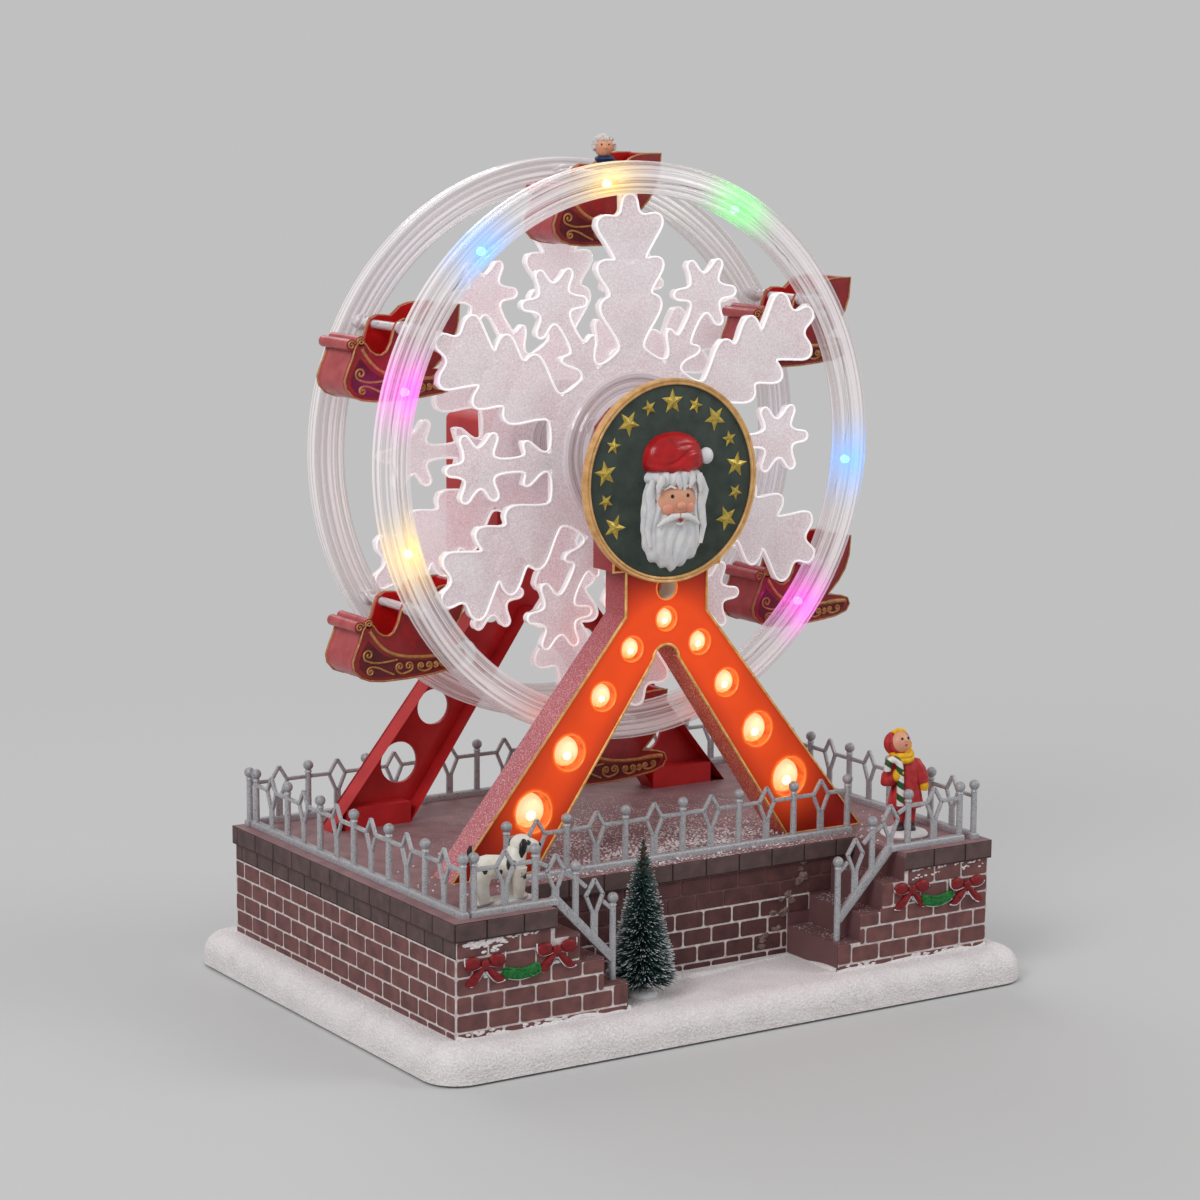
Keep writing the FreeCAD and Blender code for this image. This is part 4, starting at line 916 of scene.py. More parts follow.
def frameOutline(head):
    right = [(frames["outerFoot"], village["floor"]), (frames["neck"], frames["neckFoot"])] + head
    arch = [(-frames["innerFoot"], village["floor"])]
    for step in range(11):
        angle = math.pi * (1 - step / 10)
        arch.append((frames["arch"] * math.cos(angle),
                     frames["shoulder"] + (frames["archTop"] - frames["shoulder"]) * math.sin(angle)))
    arch.append((frames["innerFoot"], village["floor"]))
    return right + [(-x, z) for x, z in reversed(right)] + arch


# The loop that lies a little inside an outline
def insideLoop(outline, distance):
    bm = bmesh.new()
    face = bm.faces.new([bm.verts.new((x, 0, z)) for x, z in outline])
    bmesh.ops.inset_individual(bm, faces=[face], thickness=distance, use_even_offset=True)
    loop = [(vert.co.x, vert.co.z) for vert in face.verts]
    bm.free()
    return loop


# The front frame's red plastic, with painted light and shade from its bulbs
def litFinish():
    finish = Finish("litFrameRed")
    flat = finish.vector("MULTIPLY", finish.coordinates(), (1, 0, 1))
    near, wall = 0.0, 0.0
    for x, z, radius in lightHoles():
        away = finish.distance((x * mm, 0, z * mm), flat)
        near = finish.ramp(away, 0.025, 0.004) ** 1.7 + near
        wall = finish.ramp(away, radius * 1.22 * mm, radius * 0.96 * mm) + wall
    sideways = finish.facing(1)
    front = finish.ramp(sideways * sideways, 0.4, 0.9)
    grain = finish.noise(0.5, 3.0)
    near, wall = near.clamped(), wall.clamped()
    holeWallGlow = (wall * finish.ramp(finish.noise(2.6, 4.0), 0.35, 0.62, 0.25, 1.0)).clamped()
    # The face turns orange near each hole: painted light from the bulbs
    face = finish.blend(near, frames["red"], frames["bulbLitOrange"])
    # Side faces: pale pink as painted sheen with pale dust flecks, darker upwards as painted shade
    sheenAndDust = finish.blend(finish.ramp(grain, 0.50, 0.62), frames["sideSheen"], frames["speckle"])
    height = finish.place(2, flat)
    sheenAndDust = finish.blend(finish.ramp(height, 0.110, 0.150, 0.0, 0.9), sheenAndDust, frames["upperShade"])
    # Inner sides of the legs: painted light from the frame's glow, flecked with painted glints
    turned = finish.facing(0)
    within = finish.ramp(turned * finish.place(0, flat), -0.0002, -0.0015)
    innerGlowAndGlints = finish.blend(finish.ramp(grain, 0.52, 0.62), frames["inner"], frames["glint"])
    side = finish.blend(within, sheenAndDust, innerGlowAndGlints)
    # The wall of the top hole is painted pale cream: painted light, as if lit from behind through the hole
    dark, size = finish.distance((0, -0.030, frames["darkHole"][0] * mm)), frames["darkHole"][1] * mm
    side = finish.blend(finish.ramp(dark, size * 1.7, size * 1.5), side, (0.84, 0.80, 0.66))
    colour = finish.blend(front, side, face)
    # Emission near the holes and on the hole walls, which are painted orange too: painted light
    warm = (near * front * 0.37 + holeWallGlow).clamped()
    light = finish.blend(wall, frames["glow"], frames["holeGlow"])
    return finish.done({
        "Base Color": finish.blend(wall, colour, (0.56, 0.085, 0.015)),
        "Roughness": finish.ramp(grain, 0.3, 0.7, 0.36, 0.54),
        "Normal": finish.bump(grain, 0.4, 0.1),
        "Emission Color": finish.blend(warm, (0, 0, 0), light),
        "Emission Strength": 0.72,
        "Specular IOR Level": 0.25,
    })


litRed = litFinish()


def glowing(name, colour, strength, base=None):
    finish = Finish(name)
    core = finish.ramp(finish.noise(0.8, 1.0), 0.3, 0.7, 0.75, 1.0)
    return finish.done({"Base Color": base or colour, "Roughness": 0.2,
                        "Emission Color": finish.blend(core, (0, 0, 0), colour),
                        "Emission Strength": strength})


# Each bulb's middle and size. It stands on a short seat at the lower left of its hole
bulbFoot = Vector((-math.sqrt(0.5), 0, -math.sqrt(0.5)))


def bulbPlaces():
    for x, z, radius in lightHoles():
        yield Vector((x + radius * 0.05, frames["front"][0] + radius * 0.61, z)), radius * 0.83


# Frosted cream glass, amber towards the foot, with a white hot filament low on the front
def bulbFinish():
    finish = Finish("frameBulb")
    hot, amber = 0.0, 0.0
    for middle, size in bulbPlaces():
        filament = (middle + Vector((-0.20, -0.75, -0.20)) * size) * mm
        foot = (middle + Vector((-0.10, -0.50, -0.80)) * size) * mm
        hot = finish.ramp(finish.distance(tuple(filament)), size * 0.34 * mm, size * 0.16 * mm) + hot
        amber = finish.ramp(finish.distance(tuple(foot)), size * 1.05 * mm, size * 0.60 * mm) + amber
    streaks = finish.ramp(finish.noise(1.1, 2.0), 0.42, 0.60, 0.25, 1.0)
    warm = finish.blend((amber * streaks).clamped(), frames["bulbCream"], frames["bulbAmber"])
    return finish.done({"Base Color": (0.80, 0.62, 0.40), "Roughness": 0.25,
                        "Emission Color": finish.blend(hot.clamped(), warm, frames["bulbHot"]),
                        "Emission Strength": 6.5})


# Hole rims glow orange-red: painted light, the rims are no lamps
rimGlow = glowing("rimGlowRed", (1.0, 0.20, 0.02), 0.5, (0.80, 0.20, 0.04))
brightGold = painted("brightGold", (0.95, 0.58, 0.20), (0.66, 0.34, 0.09), 0.34, 0.4, 0.3, 2.2, 0.2, 0.06)


def buildFrontFrame():
    front, back = frames["front"]
    head = [(frames["neck"], frames["headFoot"]), (frames["head"], frames["headFoot"]),
            (frames["head"], frames["headTop"] - 6), (frames["head"] - 6, frames["headTop"])]
    outline = frameOutline(head)
    holes = lightHoles() + [(0.0, *frames["darkHole"])]
    bm = plate(outline, holes, front, back, ease=0.5)
    spun(bm, [(2.56, back - 7.8), (2.56, -20.2), (2.9, -20), (5.3, -20), (5.5, -20.3), (5.5, back - 0.1)],
         (0, 0, village["axle"]), "Y", 40)
    finished(bm, "frontFrame", litRed, 35, ["front_a_frame"])
    # A gold line near the edge, and inside it a thin dark maroon line as the painted shadow of the raised gold edge
    for name, inset, radius, paint in (("frameGoldLines", 0.8, 0.52, brightGold),
                                       ("frameShadowLines", 1.9, 0.28, maroonPaint)):
        lines = bmesh.new()
        strand(lines, [(x, front - 0.02, z) for x, z in insideLoop(outline, inset)], radius, closed=True)
        finished(lines, name, paint, 60)
    rims = bmesh.new()
    for x, z, radius in holes:
        spun(rims, [(radius + 0.05, front + 0.3), (radius + 0.1, front - 0.3), (radius + 0.3, front - 0.45),
                    (radius + 0.5, front - 0.3), (radius + 0.55, front + 0.3)], (x, 0, z), "Y", 32)
    finished(rims, "holeRims", rimGlow, 50)


def buildBulbs():
    glass, sockets = bmesh.new(), bmesh.new()
    for middle, size in bulbPlaces():
        foot = middle + Vector((0, size * 0.45, 0))
        cone(sockets, foot + bulbFoot * size * 0.6, foot + bulbFoot * size * 1.15, size * 0.22, size * 0.26, 12)
        ball(glass, middle, size, (1.0, 0.72, 1.04), 3)
    finished(glass, "frameBulbs", bulbFinish(), 60, ["frame_bulbs"])
    finished(sockets, "bulbSeats", goldPaint, 40)


def buildRearFrame():
    front, back = frames["rear"]
    outline = frameOutline([(frames["neck"], frames["rearTop"] - 3), (frames["neck"] - 3, frames["rearTop"])])
    holes = [(x, z, radius + 0.5) for x, z, radius in lightHoles() if x]
    bm = plate(outline, holes, back - 1.8, back, ease=0.3)
    face = bm.faces.new([bm.verts.new((x, front, z)) for x, z in outline])
    ring = bmesh.ops.inset_individual(bm, faces=[face], thickness=1.8, use_even_offset=True)["faces"]
    bm.faces.remove(face)
    pushed(bm, ring, (0, back - front - 0.3, 0))
    for side in (-1, 1):
        ends = sorted((side * (frames["innerFoot"] - 0.2), side * (frames["outerFoot"] - 6.2)))
        block(bm, (ends[0], front + 0.2, village["floor"]), (ends[1], back - 0.2, village["floor"] + 7.5))
    axle = village["axle"]
    spun(bm, [(2.56, 52.0), (7.3, 52.0), (7.5, 52.3), (7.5, 58.0)], (0, 0, axle), "Y", 40)
    finished(bm, "rearFrame", plainRed, 35, ["rear_a_frame"])


# Motor housing: a rounded tub with louvres in its back
housing = {"half": 16.4, "foot": 140.0, "top": 193.0, "back": 88.0, "louvres": [161.8, 157.8, 153.8, 149.8]}


def buildHousing():
    half, foot, top, back = housing["half"], housing["foot"], housing["top"], housing["back"]
    outline = [(-half, foot), (half, foot), (half, top - 3), (half - 3, top), (3 - half, top), (-half, top - 3)]
    bm = plate(outline, [], 59.05, back - 0.4, 0.8)
    edges = [edge for edge in bm.edges if all(abs(vert.co.y - back + 0.4) < 0.01 for vert in edge.verts)
             and edge.calc_face_angle(0) > 1.0]
    rounded(bm, edges, 1.8, 5)
    for z in housing["louvres"]:
        strand(bm, [(-9, back - 0.55, z + 1.9), (9, back - 0.55, z + 1.9)], 0.65, sides=2)
    finished(bm, "motorHousing", plainRed, 35, ["motor_housing"])
    # Dark strips at the louvres: painted shade standing in for the slot openings
    slots = bmesh.new()
    for z in housing["louvres"]:
        block(slots, (-9, back - 0.6, z), (9, back - 0.32, z + 1.5))
    finished(slots, "housingSlots", louvreShade, 30)


buildFrontFrame()
buildBulbs()
buildRearFrame()
buildHousing()
print("frames ready")


# Wheel: two ribbed rings, two frosted snowflakes and the hub
wheel = {
    "outer": 99.0,
    "inner": 88.0,
    "front": (-14.2, -8.0),
    "rear": (31.0, 37.2),
    "rib": 1.1,
    "lights": 92.0,
    "lightFirst": -38.6,
    "lightPitch": 33.8,
    "colours": ["magenta", "blue", "", "green", "warm", "blue", "magenta", "warm", "", ""],
    "flakeFront": (-12.6, -9.6),
    "flakeRear": (32.6, 35.6),
}
lightColours = {
    "magenta": (1.0, 0.10, 0.85),
    "blue": (0.10, 0.42, 1.0),
    "green": (0.12, 1.0, 0.16),
    "warm": (1.0, 0.72, 0.22),
}


def ringLights():
    for index, colour in enumerate(wheel["colours"]):
        yield *onWheel(wheel["lights"], wheel["lightFirst"] + wheel["lightPitch"] * index), colour


# Clear plastic: pale streaks that follow the ring and glow faintly as painted light; on the lit ring, a painted
# glowing pool of each lamp's colour where it stands behind
def ringFinish(name, lit):
    finish = Finish(name)
    at = finish.vector("SUBTRACT", finish.coordinates(), (0, 0, village["axle"] * mm))
    flat = finish.vector("MULTIPLY", at, (1, 0, 1))
    radius = finish.vector("LENGTH", flat, output="Value")
    depth = finish.place(1, at)
    across = finish.node("CombineXYZ", {}, {0: radius * 1400.0, 1: depth * 900.0, 2: finish.noise(60.0, 1.0) * 1.2})
    streak = finish.node("TexNoise", {}, {"Vector": across, "Scale": 1.0, "Detail": 3.0})
    pale = finish.ramp(streak, 0.38, 0.60)
    colour = finish.blend(pale, (0.60, 0.54, 0.56), (0.97, 0.92, 0.93))
    glow, strength = finish.blend(pale, (0, 0, 0), (0.15, 0.14, 0.142)), 0.5
    if lit:
        for x, z, lamp in ringLights():
            if lamp:
                away = finish.distance((x * mm, -0.0115, z * mm))
                near = finish.ramp(away, 0.021, 0.0) ** 2.0
                glow = finish.blend(near, glow, lightColours[lamp])
                colour = finish.blend(near * 0.85, colour, lightColours[lamp])
        strength = 0.9
    return finish.done({
        "Base Color": colour,
        "Roughness": finish.ramp(pale, 0.0, 1.0, 0.05, 0.22),
        "Alpha": finish.ramp(pale, 0.0, 1.0, 0.20, 0.70),
        "Emission Color": glow,
        "Emission Strength": strength,
        "Normal": finish.bump(streak, 0.5, 0.2),
        "Coat Weight": 0.5,
        "Coat Roughness": 0.04,
    })


def ribbedRing(name, node, depths, hollow, material):
    outer, inner, rib = wheel["outer"], wheel["inner"], wheel["rib"]
    front, back = depths
    chain = []
    steps = round((outer - inner) / rib)
    for index in range(steps + 1):
        lift = 0.0 if index % 2 else 0.35
        chain.append((inner + index * rib, front + lift))
    chain += [(outer - 0.35, front + 2.0), (outer, front + 3.0), (outer - 0.35, front + 4.0), (outer, back)]
    if hollow:
        wall = 1.3
        chain += [(outer - wall, back), (outer - wall, front + wall), (inner + wall, front + wall),
                  (inner + wall, back)]
    else:
        for index in range(1, steps):
            lift = 0.35 if index % 2 else 0.0
            chain.append((outer - index * rib, back - lift))
    chain += [(inner, back), (inner + 0.3, front + 4.2), (inner, front + 3.1), (inner + 0.3, front + 2.0)]
    bm = bmesh.new()
    spun(bm, chain, (0, 0, village["axle"]), "Y", 144, closed=True)
    finished(bm, name, material, 25, [node], body="wheel")


# Snowflake outline: half of a leafy arm and half of a stem with a flower head, as (along, across)
leafyArm = [(88.2, 3.2), (82.2, 3.2), (80.4, 5.6), (81.6, 9.6), (80.4, 13.0), (77.2, 13.7), (73.4, 10.9), (68.6, 7.6),
            (65.6, 5.6), (66.6, 9.0), (66.0, 12.8), (63.2, 13.9), (59.6, 11.8), (56.2, 9.0), (53.8, 8.0), (53.4, 11.0),
            (50.8, 12.9), (47.2, 11.8), (42.6, 8.2), (38.2, 5.3), (35.4, 4.2)]
plainStem = [(32.6, 2.4), (37.4, 3.6), (41.2, 7.9), (44.2, 7.6), (43.4, 4.6), (42.6, 2.4), (52.4, 2.2)]


def flowerHead(centre):
    points = []
    for petal in range(-2, 3):
        for turn, reach in ((-25, 6.0), (-12, 9.4), (-9, 12.2), (0, 13.2), (9, 12.2), (12, 9.4)):
            angle = math.radians(60 * petal + turn)
            points.append((centre + reach * math.cos(angle), reach * math.sin(angle)))
    angle = math.radians(145)
    points.append((centre + 6.0 * math.cos(angle), 6.0 * math.sin(angle)))
    return points


def flakeOutline():
    points = []
    for index in range(6):
        turn = village["wheelTurn"] + 30 + 60 * index
        lobes = [(x, -y) for x, y in reversed(leafyArm)] + leafyArm
        between = [(x, -y) for x, y in plainStem] + flowerHead(61.0) + plainStem[::-1]
        for degrees, half in ((turn, lobes), (turn + 30, between)):
            for x, y in half:
                points.append(onWheel(math.hypot(x, y), degrees + math.degrees(math.atan2(y, x))))
    return points


# Frosted plastic: grainy pinkish faces, side faces and bevels painted white as painted highlight, and a faint glow all
# over as painted light
def frostedFinish(name, clear, glow):
    finish = Finish(name)
    sideways = finish.facing(1)
    flat = finish.ramp(sideways * sideways, 0.55, 0.97)
    fine = finish.noise(0.8, 4.0, rough=0.8)
    grain = finish.ramp(fine, 0.42, 0.58)
    tint = finish.ramp(finish.noise(16.0, 3.0), 0.36, 0.64)
    body = finish.blend(tint, (0.90, 0.69, 0.74), (0.95, 0.85, 0.89))
    frosty = finish.blend(grain * 0.7, (0.97, 0.92, 0.94), body)
    return finish.done({
        "Base Color": finish.blend(flat, (0.97, 0.95, 0.96), frosty),
        "Roughness": finish.ramp(flat * grain, 0.0, 1.0, 0.08, 0.42),
        "Alpha": finish.ramp(flat * grain, 0.0, 1.0, 0.86 - clear, 0.64 - clear),
        "Normal": finish.bump(fine * flat, 1.0, 0.6),
        "Coat Weight": 0.4,
        "Emission Color": finish.blend(tint, (0.90, 0.66, 0.70), (0.92, 0.80, 0.84)),
        "Emission Strength": glow,
    })


def clearFinish(name, alpha, tone):
    finish = Finish(name)
    at = finish.vector("SUBTRACT", finish.coordinates(), (0, 0, village["axle"] * mm))
    away = finish.vector("LENGTH", at, output="Value")
    fine = finish.noise(1.0, 3.0, finish.node("CombineXYZ", {}, {0: away}))
    return finish.done({
        "Base Color": finish.blend(finish.ramp(fine, 0.4, 0.6), tone, (0.95, 0.92, 0.94)),
        "Roughness": finish.ramp(fine, 0.3, 0.7, 0.05, 0.2),
        "Alpha": finish.ramp(fine, 0.35, 0.65, alpha - 0.1, alpha + 0.12),
        "Normal": finish.bump(fine, 0.35, 0.15),
        "Coat Weight": 0.5,
    })


clearHub = clearFinish("clearHub", 0.66, (0.74, 0.62, 0.66))
clearBarrel = clearFinish("clearBarrel", 0.42, (0.55, 0.44, 0.47))
# White border lines on the flakes glow: painted highlight
borderHighlight = glowing("flakeBorder", (0.34, 0.33, 0.335), 1.0, (0.94, 0.92, 0.93))


def buildFlakes():
    outline = flakeOutline()
    # The rear flake glows more, as painted light against the shade it lies in
    for name, node, depths, clear, glow in (("frontFlake", "front_snowflake", wheel["flakeFront"], 0.0, 0.13),
                                            ("rearFlake", "rear_snowflake", wheel["flakeRear"], 0.14, 0.24)):
        bm = plate(outline, [], *depths, soften=0.9, ease=0.45)
        finished(bm, name, frostedFinish(name + "Frost", clear, glow), 35, [node], body="wheel")
        loop = insideLoop(outline, 1.0)
        lines = bmesh.new()
        strand(lines, [(x, depths[0] - 0.05, z) for x, z in loop], 0.42, closed=True, smooth=True, sides=1)
        finished(lines, name + "Border", borderHighlight, 70, body="wheel")


# Hub: ridged disc and neck in front; open drum, core and speckled barrel behind
def buildHub():
    centre = (0, 0, village["axle"])
    front, back = wheel["flakeFront"]
    disc = [(2.52, back), (28.0, back), (28.0, front - 1.2), (27.4, front - 1.9), (26.0, front - 1.9),
            (25.4, front - 1.3), (24.6, front - 1.3), (24.0, front - 1.9), (21.6, front - 1.9), (21.0, front - 2.4),
            (21.0, front - 3.0), (20.5, front - 3.4), (13.6, front - 3.4), (13.0, front - 2.8), (12.2, front - 2.8),
            (11.6, front - 3.4), (5.5, front - 3.4), (5.5, -19.8), (2.52, -19.8)]
    bm = bmesh.new()
    spun(bm, disc, centre, "Y", 72, closed=True)
    for turn in (150, 30, 270):
        x, z = onWheel(20.0, turn)
        spun(bm, [(0.0, front - 1.6), (1.2, front - 2.4), (3.0, front - 2.4), (3.2, front - 1.0)], (x, 0, z), "Y", 20)
    finished(bm, "frontHub", clearHub, 30, body="wheel")
    first, last = wheel["flakeRear"]
    drum = [(5.0, last - 1.2), (21.0, first), (21.0, 46.6), (20.6, 47.0), (19.7, 47.0), (19.4, 46.6), (19.4, last),
            (5.0, last), (5.0, 51.8), (2.52, 51.8), (2.52, last - 1.2)]
    bm = bmesh.new()
    spun(bm, drum, centre, "Y", 72, closed=True)
    finished(bm, "rearDrum", clearHub, 30, body="wheel")
    barrel = [(2.52, -9.55), (12.4, -9.55), (13.0, -9.0), (13.0, -3.0), (12.7, -2.6), (13.0, -2.2), (13.0, 8.0),
              (12.7, 8.4), (13.0, 8.8), (13.0, 31.4), (12.4, 32.55), (2.52, 32.55)]
    bm = bmesh.new()
    spun(bm, barrel, centre, "Y", 64, closed=True)
    finished(bm, "hubBarrel", clearBarrel, 30, body="wheel")
    dark = bmesh.new()
    for bore, low, high in ((2.6, 37.0, 38.6), (5.2, 42.0, 46.0)):
        spun(dark, [(bore, low), (19.3, low), (19.3, high), (bore, high)], centre, "Y", 60, closed=True)
    finished(dark, "drumBands", maroonPaint, 35, ["drive_disc"], body="wheel")
    specks = bmesh.new()
    for index in range(150):
        turn, reach = random.uniform(0, 360), random.uniform(6.0, 11.6)
        x, z = onWheel(reach, turn)
        shaken(bmesh.ops.create_cube(specks, size=random.uniform(0.9, 2.0), matrix=Matrix.Translation(
            (x, random.uniform(-6.5, 29.5), z)) @ Matrix.Rotation(random.uniform(0, 3), 4, (1, 1, 1)))["verts"], 0.3)
    finished(specks, "barrelSpecks", maroonPaint, 20, body="wheel")


def buildRings():
    ribbedRing("frontRing", "front_ring", wheel["front"], True, ringFinish("clearLitRing", True))
    ribbedRing("rearRing", "rear_ring", wheel["rear"], False, ringFinish("clearRing", False))
    lamps = {}
    for x, z, colour in ringLights():
        bm = lamps.setdefault(colour, bmesh.new())
        turn = Matrix.Rotation(math.pi / 2, 4, "X")
        bmesh.ops.create_cone(bm, cap_ends=True, segments=14, radius1=1.5, radius2=1.3, depth=1.4,
                              matrix=Matrix.Translation((x, -11.4, z)) @ turn)
        ball(bm, (x, -10.7, z), 1.35, (1, 0.8, 1), 2)
        ball(bm, (x, -12.2, z), 1.3, (1, 0.5, 1), 2)
    for index, (colour, bm) in enumerate(lamps.items()):
        shine = glowing(colour + "Lamp", lightColours[colour], 12.0) if colour else clearHub
        nodes = ["ring_leds"] if index == 0 else ()
        finished(bm, "ringLamps" + (colour.capitalize() or "Clear"), shine, 50, nodes, body="wheel")
    bm = bmesh.new()
    path = []
    for index in range(160):
        turn = 360 * index / 160
        reach = 92.6 + 1.6 * math.sin(math.radians(turn * 7)) + random.uniform(-0.9, 0.9)
        x, z = onWheel(reach, turn)
        path.append((x, -10.4 + random.uniform(-0.7, 0.7), z))
    strand(bm, path, 0.20, closed=True, smooth=True, sides=1)
    finished(bm, "lampWire", wirePaint, 60, body="wheel")
    pins = bmesh.new()
    for number in range(1, 7):
        x, z = pinPlace(number)
        cone(pins, (x, -12.9, z), (x, 34.1, z), 1.5, 1.5, 28)
        for low, high in ((-8.0, -6.4), (0.1, 1.6), (21.4, 22.9), (28.6, 30.9)):
            cone(pins, (x, low, z), (x, high, z), 2.3, 2.3, 28)
        ball(pins, (x, 28.6, z), 2.9, (1, 0.8, 1), 3)
    finished(pins, "sleighRods", clearHub, 40, ["gondola_pins"], body="wheel")


wirePaint = painted("wireEnamel", (0.16, 0.075, 0.035), (0.09, 0.04, 0.02), 0.3, 0.4, 0.1, 3.0, 0.3)
buildFlakes()
buildHub()
buildRings()
print("wheel ready")


# Sleighs: side outline about the pin, prow on the left
sleigh = {
    "front": 1.85,
    "back": 21.15,
    "side": 1.5,
    "red": (0.30, 0.012, 0.015),
    "redOther": (0.20, 0.009, 0.012),
    # prow: paler pink on the faces that don't face sideways, as painted sheen
    "prow": (0.50, 0.085, 0.090),
    "prowOther": (0.40, 0.055, 0.060),
    "maroon": (0.13, 0.010, 0.016),
    "pinHole": 1.62,
    "rolls": [(-18.4, -5.0, 1.9), (-14.9, -3.9, 1.75)],
    "curls": [((-14.9, -4.0), 200, -1), ((-18.4, -5.0), 20, 1)],
    "inside": (0.60, 0.012, 0.012),
}
sleighHull = [(-17.0, -6.0), (-18.0, -9.5), (-19.7, -13.2), (-20.9, -16.6), (-20.4, -19.4), (-18.0, -22.0),
              (-14.5, -23.3), (-9.5, -23.9), (0.0, -23.8), (8.0, -23.2), (16.0, -22.2), (20.9, -20.6), (22.3, -18.2),
              (21.4, -16.0), (18.3, -14.9), (12.2, -14.0), (14.0, -12.4), (17.2, -9.2), (20.1, -5.0), (21.8, 0.0),
              (22.4, 6.9)]
sleighRim = [(17.0, 6.9), (13.0, 6.5), (10.0, 5.5), (8.0, 3.7), (6.3, 2.4), (4.5, 2.7), (1.2, 2.9), (-1.2, 1.8),
             (-2.6, -1.0), (-3.6, -4.5), (-5.2, -7.5), (-7.2, -8.7), (-9.3, -8.5), (-11.4, -7.2), (-13.0, -5.0),
             (-15.0, -3.4)]
goldBand = [(-14.6, -6.4), (-12.6, -9.6), (-10.0, -12.6), (-6.8, -14.6), (-2.6, -16.0), (3.0, -16.9), (9.0, -17.1),
            (13.4, -16.9)]
lowerPanel = [(-15.2, -9.6), (-13.6, -11.2), (-11.0, -13.9), (-7.6, -15.9), (-3.0, -17.3), (3.0, -18.1),
              (9.0, -18.3), (15.0, -18.0), (19.6, -17.4), (19.9, -18.6), (18.4, -20.0), (15.0, -21.0), (7.8, -21.9),
              (0.0, -22.5), (-9.4, -22.6), (-13.8, -22.0), (-16.8, -20.6), (-18.4, -18.7), (-18.6, -16.6),
              (-17.4, -13.2)]
sleighInner = [(-15.6, -6.4), (-16.7, -9.9), (-18.3, -13.6), (-19.4, -16.8), (-19.0, -18.8), (-17.1, -20.8),
               (-14.2, -21.9), (-9.5, -22.4), (0.0, -22.3), (8.0, -21.8), (15.8, -20.8), (19.9, -19.6),
               (20.8, -18.1), (20.2, -17.2), (17.8, -16.3), (9.8, -15.2), (11.9, -13.2), (16.0, -8.4),
               (18.8, -4.4), (20.4, 0.4), (20.9, 6.7)]
sleighBench = [(3.0, -22.0), (3.0, -13.6), (3.4, -13.2), (11.7, -13.2), (9.8, -15.2), (15.8, -20.6)]
sleighBack = [(12.0, -13.1), (16.1, -8.3), (18.9, -4.3), (20.5, 0.5), (20.9, 6.4), (20.6, 6.4), (20.2, 0.6),
              (18.6, -4.1), (15.9, -8.0), (11.8, -12.8)]
# Scrolls: the stem, then the curl's centre, reach, first angle and turning way
scrolls = [([(-4.2, -17.0), (-8.2, -17.5), (-12.0, -17.6), (-14.4, -17.1)], (-15.2, -14.5), 2.1, 245, -1),
           ([(-5.4, -22.0), (-7.8, -21.0), (-10.6, -19.4), (-13.0, -18.7)], (-14.4, -20.2), 1.5, 80, 1),
           ([(-2.4, -22.0), (-4.1, -21.4)], (-3.3, -19.5), 1.5, 215, -1),
           ([(-2.4, -22.0), (0.4, -21.6), (1.7, -20.6)], (0.2, -19.5), 1.5, -20, 1),
           ([(6.4, -21.8), (4.2, -21.3)], (4.9, -19.9), 1.25, 215, -1),
           ([(6.4, -21.8), (8.6, -21.3)], (7.9, -19.9), 1.25, -35, 1),
           ([(14.9, -20.9), (13.0, -20.9)], (13.2, -19.5), 1.1, 215, -1),
           ([(14.9, -20.9), (16.8, -20.4)], (16.5, -19.2), 1.1, -35, 1),
           ([(9.6, -20.4), (10.6, -21.2), (11.6, -20.2)], (10.6, -19.6), 0.7, 0, 1)]


# The sleigh's red: deep red on its side faces, a paler pink elsewhere as painted sheen
def sleighFinish():
    finish = Finish("sleighRed")
    sideways = finish.facing(1)
    flat = finish.ramp(sideways * sideways, 0.35, 0.8)
    patch, grain = finish.noise(5.0, 3.0), finish.noise(0.45, 3.0)
    red = finish.blend(finish.ramp(patch, 0.35, 0.65), sleigh["red"], sleigh["redOther"])
    prow = finish.blend(finish.ramp(patch, 0.35, 0.65), sleigh["prow"], sleigh["prowOther"])
    return finish.done({
        "Base Color": finish.blend(flat, prow, red),
        "Roughness": finish.ramp(patch, 0.3, 0.7, 0.24, 0.38),
        "Normal": finish.bump(grain, 0.3, 0.06),
        "Coat Weight": finish.ramp(flat, 0.0, 1.0, 0.05, 0.25),
        "Coat Roughness": 0.15,
        "Specular IOR Level": 0.3,
    })


sleighRed = sleighFinish()
sleighGold = painted("sleighGoldPaint", (0.54, 0.27, 0.10), (0.36, 0.155, 0.05), 0.4, 0.4, 0.3, 1.6, 0.2)
scarlet = painted("sleighInside", sleigh["inside"], (0.44, 0.010, 0.010), 0.32, 0.45, 0.3, 6.0)
maroonPanel = painted("sleighMaroon", sleigh["maroon"], (0.085, 0.008, 0.012), 0.28, 0.45, 0.3, 4.0)


# Points of a curl that winds inwards
def curl(centre, reach, start, way):
    return [onArc(reach * (1 - step / 21), start + way * step * 27, centre) for step in range(19)]


